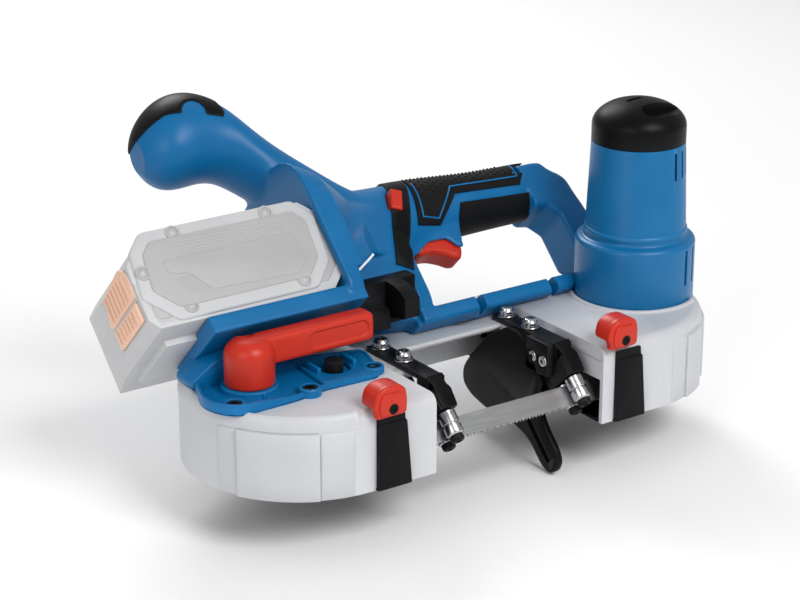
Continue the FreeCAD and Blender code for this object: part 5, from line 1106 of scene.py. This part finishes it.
def gripSkin():
    # the soft skin, its lower pad and its top end drawn out to the leg
    mesh = cleanCopy("handle_grip")
    top, topRise = gripLook["topFrom"]
    start, run = gripLook["reachFrom"]
    for v in mesh.verts:
        x, u, w = handleCoords(v.co)
        reach = gripLook["lowReach"]
        if u >= gripLook["split"]:
            reach = gripLook["topReach"] * eased((u - top) / topRise)
        v.co += handleAxes[0] * (reach * eased((x - start) / run) / 1000)
    tree = BVHTree.FromBMesh(mesh)
    addPiece("grip_skin", mesh, "saw_body", "grip_rubber", ["handle_grip"], 35)
    return tree


def gripDots(tree):
    dots = bmesh.new()
    pitch, dot, step = (gripLook[k] for k in ("pitch", "dot", "turnStep"))
    form = [(dot * r, rise) for r, rise in gripLook["dotForm"]]
    for i in range(int(gripLook["dotRun"] / pitch)):
        middle = handleAt(gripLook["dotFrom"] + pitch * i, *gripLook["middle"])
        for k in range(gripLook["dotsRound"]):
            turn = math.radians(gripLook["firstTurn"] + step * k + (gripLook["stagger"] if i % 2 else 0))
            out = handleAxes[1] * math.sin(turn) + handleAxes[2] * math.cos(turn)
            place, normal, index, reach = tree.ray_cast(middle + out * 0.045, -out, 0.04)
            if place is not None and within(handleCoords(place)[:2], gripLook["dotted"]):
                normal = normal if normal.dot(out) > 0 else -normal
                lathe(dots, place - normal * gripLook["dotSink"], normal, form, 12)
    addPiece("grip_dots", dots, "saw_body", "black_plastic", (), 60)


def gripInlay(tree):
    inlay = bmesh.new()
    for w, way in ((70, -1), (-40, 1)):      # front face, then rear face
        places, normals = [], []
        for (x0, u0), (x1, u1) in zip(gripLook["inlay"], gripLook["inlay"][1:]):
            steps = max(1, round(math.hypot(x1 - x0, u1 - u0)))
            for k in range(steps):
                t = k / steps
                start = handleAt(x0 + (x1 - x0) * t, u0 + (u1 - u0) * t, w)
                place, normal, index, reach = tree.ray_cast(start, handleAxes[2] * way, 0.09)
                if place is not None:
                    places.append(place)
                    normals.append(normal if normal.dot(handleAxes[2]) * way < 0 else -normal)
        if len(places) > 3:
            tubeAlong(inlay, places, normals, gripLook["line"])
    addPiece("grip_inlay", inlay, "saw_body", "housing_blue", (), 60)


gripTree = gripSkin()
gripDots(gripTree)
gripInlay(gripTree)
print("saw: grip dotted")

# knob: black cap drawn over the end of the arm

knobLook = {"cap": [(-136, 189.5), (-127, 190.2), (-120.4, 192.9), (-112.5, 195.2), (-103.8, 193.1),
                    (-102.6, 196.4), (-99.7, 199.1), (-96.4, 200.6), (-93.2, 200.4), (-90.6, 198.2),
                    (-89.3, 194), (-90.1, 189.4), (-83.4, 187.4), (-80.4, 186.4), (-78.2, 189.5), (-77.4, 232)],
            "far": (-136, 232), "right": -64, "above": 170, "lift": 0.9, "edgeLift": 0.55, "sunk": 0.5,
            "snap": 2.5, "middle": (-95, 186, 15)}


def nearestOn(point, line):
    best = None
    for a, b in zip(line, line[1:]):
        a, b = Vector(a), Vector(b)
        spot = a + (b - a) * clamped((point - a).dot(b - a) / (b - a).length_squared)
        if best is None or (spot - point).length < (best - point).length:
            best = spot
    return best


def knobCap():
    skin = bmesh.new()
    skin.from_mesh(bpy.data.objects["housing_shell"].data)
    middle = handleAt(*knobLook["middle"])
    cap = knobLook["cap"] + [knobLook["far"]]
    unwanted = []
    for face in skin.faces:
        centre = face.calc_center_median()
        x, u, w = handleCoords(centre)
        outside = x > knobLook["right"] or u < knobLook["above"] or face.normal.dot(centre - middle) < 0
        if outside or not within((x, u), cap):
            unwanted.append(face)
    bmesh.ops.delete(skin, geom=unwanted, context="FACES")
    skin.normal_update()
    border = {v for e in skin.edges if len(e.link_faces) == 1 for v in e.verts}
    for v in border:         # the cap's edge follows the drawn line
        x, u, w = handleCoords(v.co)
        spot = nearestOn(Vector((x, u)), knobLook["cap"])
        if (spot - Vector((x, u))).length < knobLook["snap"]:
            v.co = handleAt(spot.x, spot.y, w)
    mesh = bmesh.new()
    over, under = {}, {}
    for v in skin.verts:
        lift = knobLook["lift"] * (knobLook["edgeLift"] if v in border else 1)
        over[v] = mesh.verts.new(v.co + v.normal * (lift / 1000))
        under[v] = mesh.verts.new(v.co - v.normal * (knobLook["sunk"] / 1000))
    for face in skin.faces:
        mesh.faces.new([over[v] for v in face.verts])
        mesh.faces.new([under[v] for v in reversed(face.verts)])
    for edge in skin.edges:
        if len(edge.link_faces) == 1:
            a, b = edge.verts
            mesh.faces.new([over[a], over[b], under[b], under[a]])
    skin.free()
    addPiece("knob_cap", mesh, "saw_body", "black_plastic", ["knob_grip"], 50)


knobCap()
print("saw: knob capped")

# trigger: one soft form with a hooked tip

triggerLook = {"outline": [(10.5, 101), (10.5, 86.3), (20.5, 86.8), (28.5, 83.4), (33.6, 79.9), (37.6, 79.4),
                           (40.4, 83.6), (41.8, 92), (41.8, 101)],
               "low": 7.0, "high": 23.0, "bevel": 3.2, "voxel": 0.45, "rounds": 8}


def triggerForm():
    mesh = bmesh.new()
    outline = roundedOutline(triggerLook["outline"], 4.5, 5)
    slab(mesh, outline, handleAxes, sawOrigin, triggerLook["low"], triggerLook["high"], triggerLook["bevel"], 5)
    holder = holderOf("triggerRaw", mesh)
    drawTogether(holder, triggerLook["voxel"], triggerLook["rounds"])
    addPiece("trigger_form", released(holder), bodyOfNode["trigger"], "signal_red", ["trigger"], 70)


triggerForm()

# cradle lobe behind the lever, and the cheeks in front of the guide rollers

lobeLook = {"section": [(-158.5, 46.2), (-159.5, 52), (-146, 60.5), (-128, 64), (-128, 46.2)],
            "front": 8.0, "back": 26.0}
cheekLook = {"outline": [(-5.5, 2.6), (-4.0, -4), (-5.0, -7), (-4.4, -17.1), (5.4, -17.1), (6.2, -6.4), (4.2, -3),
                         (5.4, 2.9)], "back": 60.4, "front": 62.9}


def smallForms():
    mesh = bmesh.new()
    section = roundedOutline(lobeLook["section"], 2.5, 3)
    slab(mesh, section, sideAxes, sawOrigin, lobeLook["front"], lobeLook["back"], 1.5, 3)
    addPiece("cradle_lobe", mesh, "saw_body", "housing_blue", (), 45)
    outline = roundedOutline(cheekLook["outline"], 1.2, 2)
    for side, x in zip(sides, screwLook["guideX"]):
        mesh = bmesh.new()
        slab(mesh, outline, handleAxes, sawAt(x, 0, 0), cheekLook["back"], cheekLook["front"], 0.6, 3)
        addPiece(side + "_guide_cheek", mesh, "saw_body", "black_steel", (), 45)


# material stop: a round plate with a long grooved leg, and its ear on the guide

stopLook = {"plate": [(33, 14), (32.5, -8), (30.5, -21), (24, -27.5), (14.8, -26), (1.4, -18), (-8, -8.5),
                      (-16, -0.5), (-30, 7.4), (-47, 7.2), (-53.5, 10), (-55.6, 16), (-53.5, 22.4), (-47, 25.4),
                      (-30, 25.6), (-14, 31), (-10, 40), (-4, 43.6), (16, 43.6), (28, 36)],
            "left": 35.5, "right": 39.5, "ear": (-42.0, 26.0, -22.5, 45.0), "groove": (-49.0, 13.4, -11.0, 18.2),
            "grooveDepth": 1.6, "pocket": 4.1}


def materialStop():
    axes = (handleAxes[1], handleAxes[2], xAxis)
    left, right, r, floor = stopLook["left"], stopLook["right"], stopLook["pocket"], screwLook["earX"]
    mesh = bmesh.new()
    slab(mesh, roundedOutline(stopLook["plate"], 6, 3), axes, sawOrigin, left, right, 0.9, 3)
    plate = holderOf("stopPlate", mesh)
    groove = bmesh.new()
    channel = roundRect(*stopLook["groove"], 2.3)
    slab(groove, channel, axes, sawOrigin, left - 3, left + stopLook["grooveDepth"], 0.3, 2)
    cutAway(plate, groove)
    mesh = bmesh.new()
    slab(mesh, roundRect(*stopLook["ear"], 1.2, 3), (yAxis, upAxis, xAxis), sawOrigin, left, right, 0.5, 2)
    ear = holderOf("stopEar", mesh)
    pockets = bmesh.new()
    for y in screwLook["earY"]:
        lathe(pockets, sawAt(0, y, screwLook["earZ"]), xAxis, [(0, 30), (r, 30), (r, floor), (0, floor)], 32)
    cutAway(ear, pockets)
    mesh = bmesh.new()
    mesh.from_mesh(released(plate))
    mesh.from_mesh(released(ear))
    addPiece("stop_plate", mesh, "saw_body", slotOfNode["material_stop"], ["material_stop"], 35)


smallForms()
materialStop()
print("saw: trigger, lobe, cheeks and stop formed")

# studio

studio = {"world": 0.45, "aim": (0, 0, 0.08), "floor": (0.93, 0.93, 0.932), "floorDrop": 0.0005,
          "lights": (("keyLight", (0.1, -1.35, 1.3), 0.9, 20.0), ("fillLight", (-1.3, -0.7, 0.8), 0.9, 5.0),
                     ("rimLight", (0.3, 1.3, 1.1), 0.8, 12.0))}


def areaLight(name, place, size, power):
    lamp = bpy.data.lights.new(name, "AREA")
    lamp.shape = "DISK"
    lamp.size = size
    lamp.energy = power
    thing = placed(name, lamp)
    thing.location = place
    thing.rotation_mode = "QUATERNION"
    thing.rotation_quaternion = (Vector(studio["aim"]) - Vector(place)).to_track_quat("-Z", "Y")


def floorPiece():
    mesh = bmesh.new()
    bmesh.ops.create_grid(mesh, x_segments=4, y_segments=4, size=6)
    made = bpy.data.meshes.new("studioFloor")
    mesh.to_mesh(made)
    mesh.free()
    material, tree, shader, where = nodeTree("studioPaper")
    base = mottled(tree, noiseNode(tree, where, 3, 2), shadeOf(studio["floor"], 0.995), studio["floor"])
    tree.links.new(base, shader.inputs["Base Color"])
    shader.inputs["Roughness"].default_value = 0.9
    made.materials.append(material)
    floor = placed("studioFloor", made)
    floor.location = (0, 0, -studio["floorDrop"])


floorPiece()
world = bpy.data.worlds.new("studio")
world.use_nodes = True
world.node_tree.nodes["Background"].inputs["Color"].default_value = (1, 1, 1, 1)
world.node_tree.nodes["Background"].inputs["Strength"].default_value = studio["world"]
bpy.context.scene.world = world
for light in studio["lights"]:
    areaLight(*light)
bpy.context.scene.view_settings.view_transform = "Standard"

# camera at the photograph's viewing angle

view = {"place": (-691.2, -1002.9, 541.0), "azimuth": 34.72, "elevation": 20.45, "lens": 103.9}
turn, tilt = math.radians(view["azimuth"]), math.radians(view["elevation"])
ahead = Vector((math.sin(turn) * math.cos(tilt), math.cos(turn) * math.cos(tilt), -math.sin(tilt)))
across = Vector((math.cos(turn), -math.sin(turn), 0))
lensData = bpy.data.cameras.new("photoCamera")
lensData.sensor_width = 36
lensData.sensor_fit = "HORIZONTAL"
lensData.lens = view["lens"]
lensData.clip_start = 0.05
lensData.clip_end = 50
photoCamera = placed("photoCamera", lensData)
pose = Matrix((across, across.cross(ahead), -ahead)).transposed().to_4x4()
pose.translation = Vector(view["place"]) / 1000
photoCamera.matrix_world = pose
bpy.context.scene.camera = photoCamera
print("saw: studio and camera set")
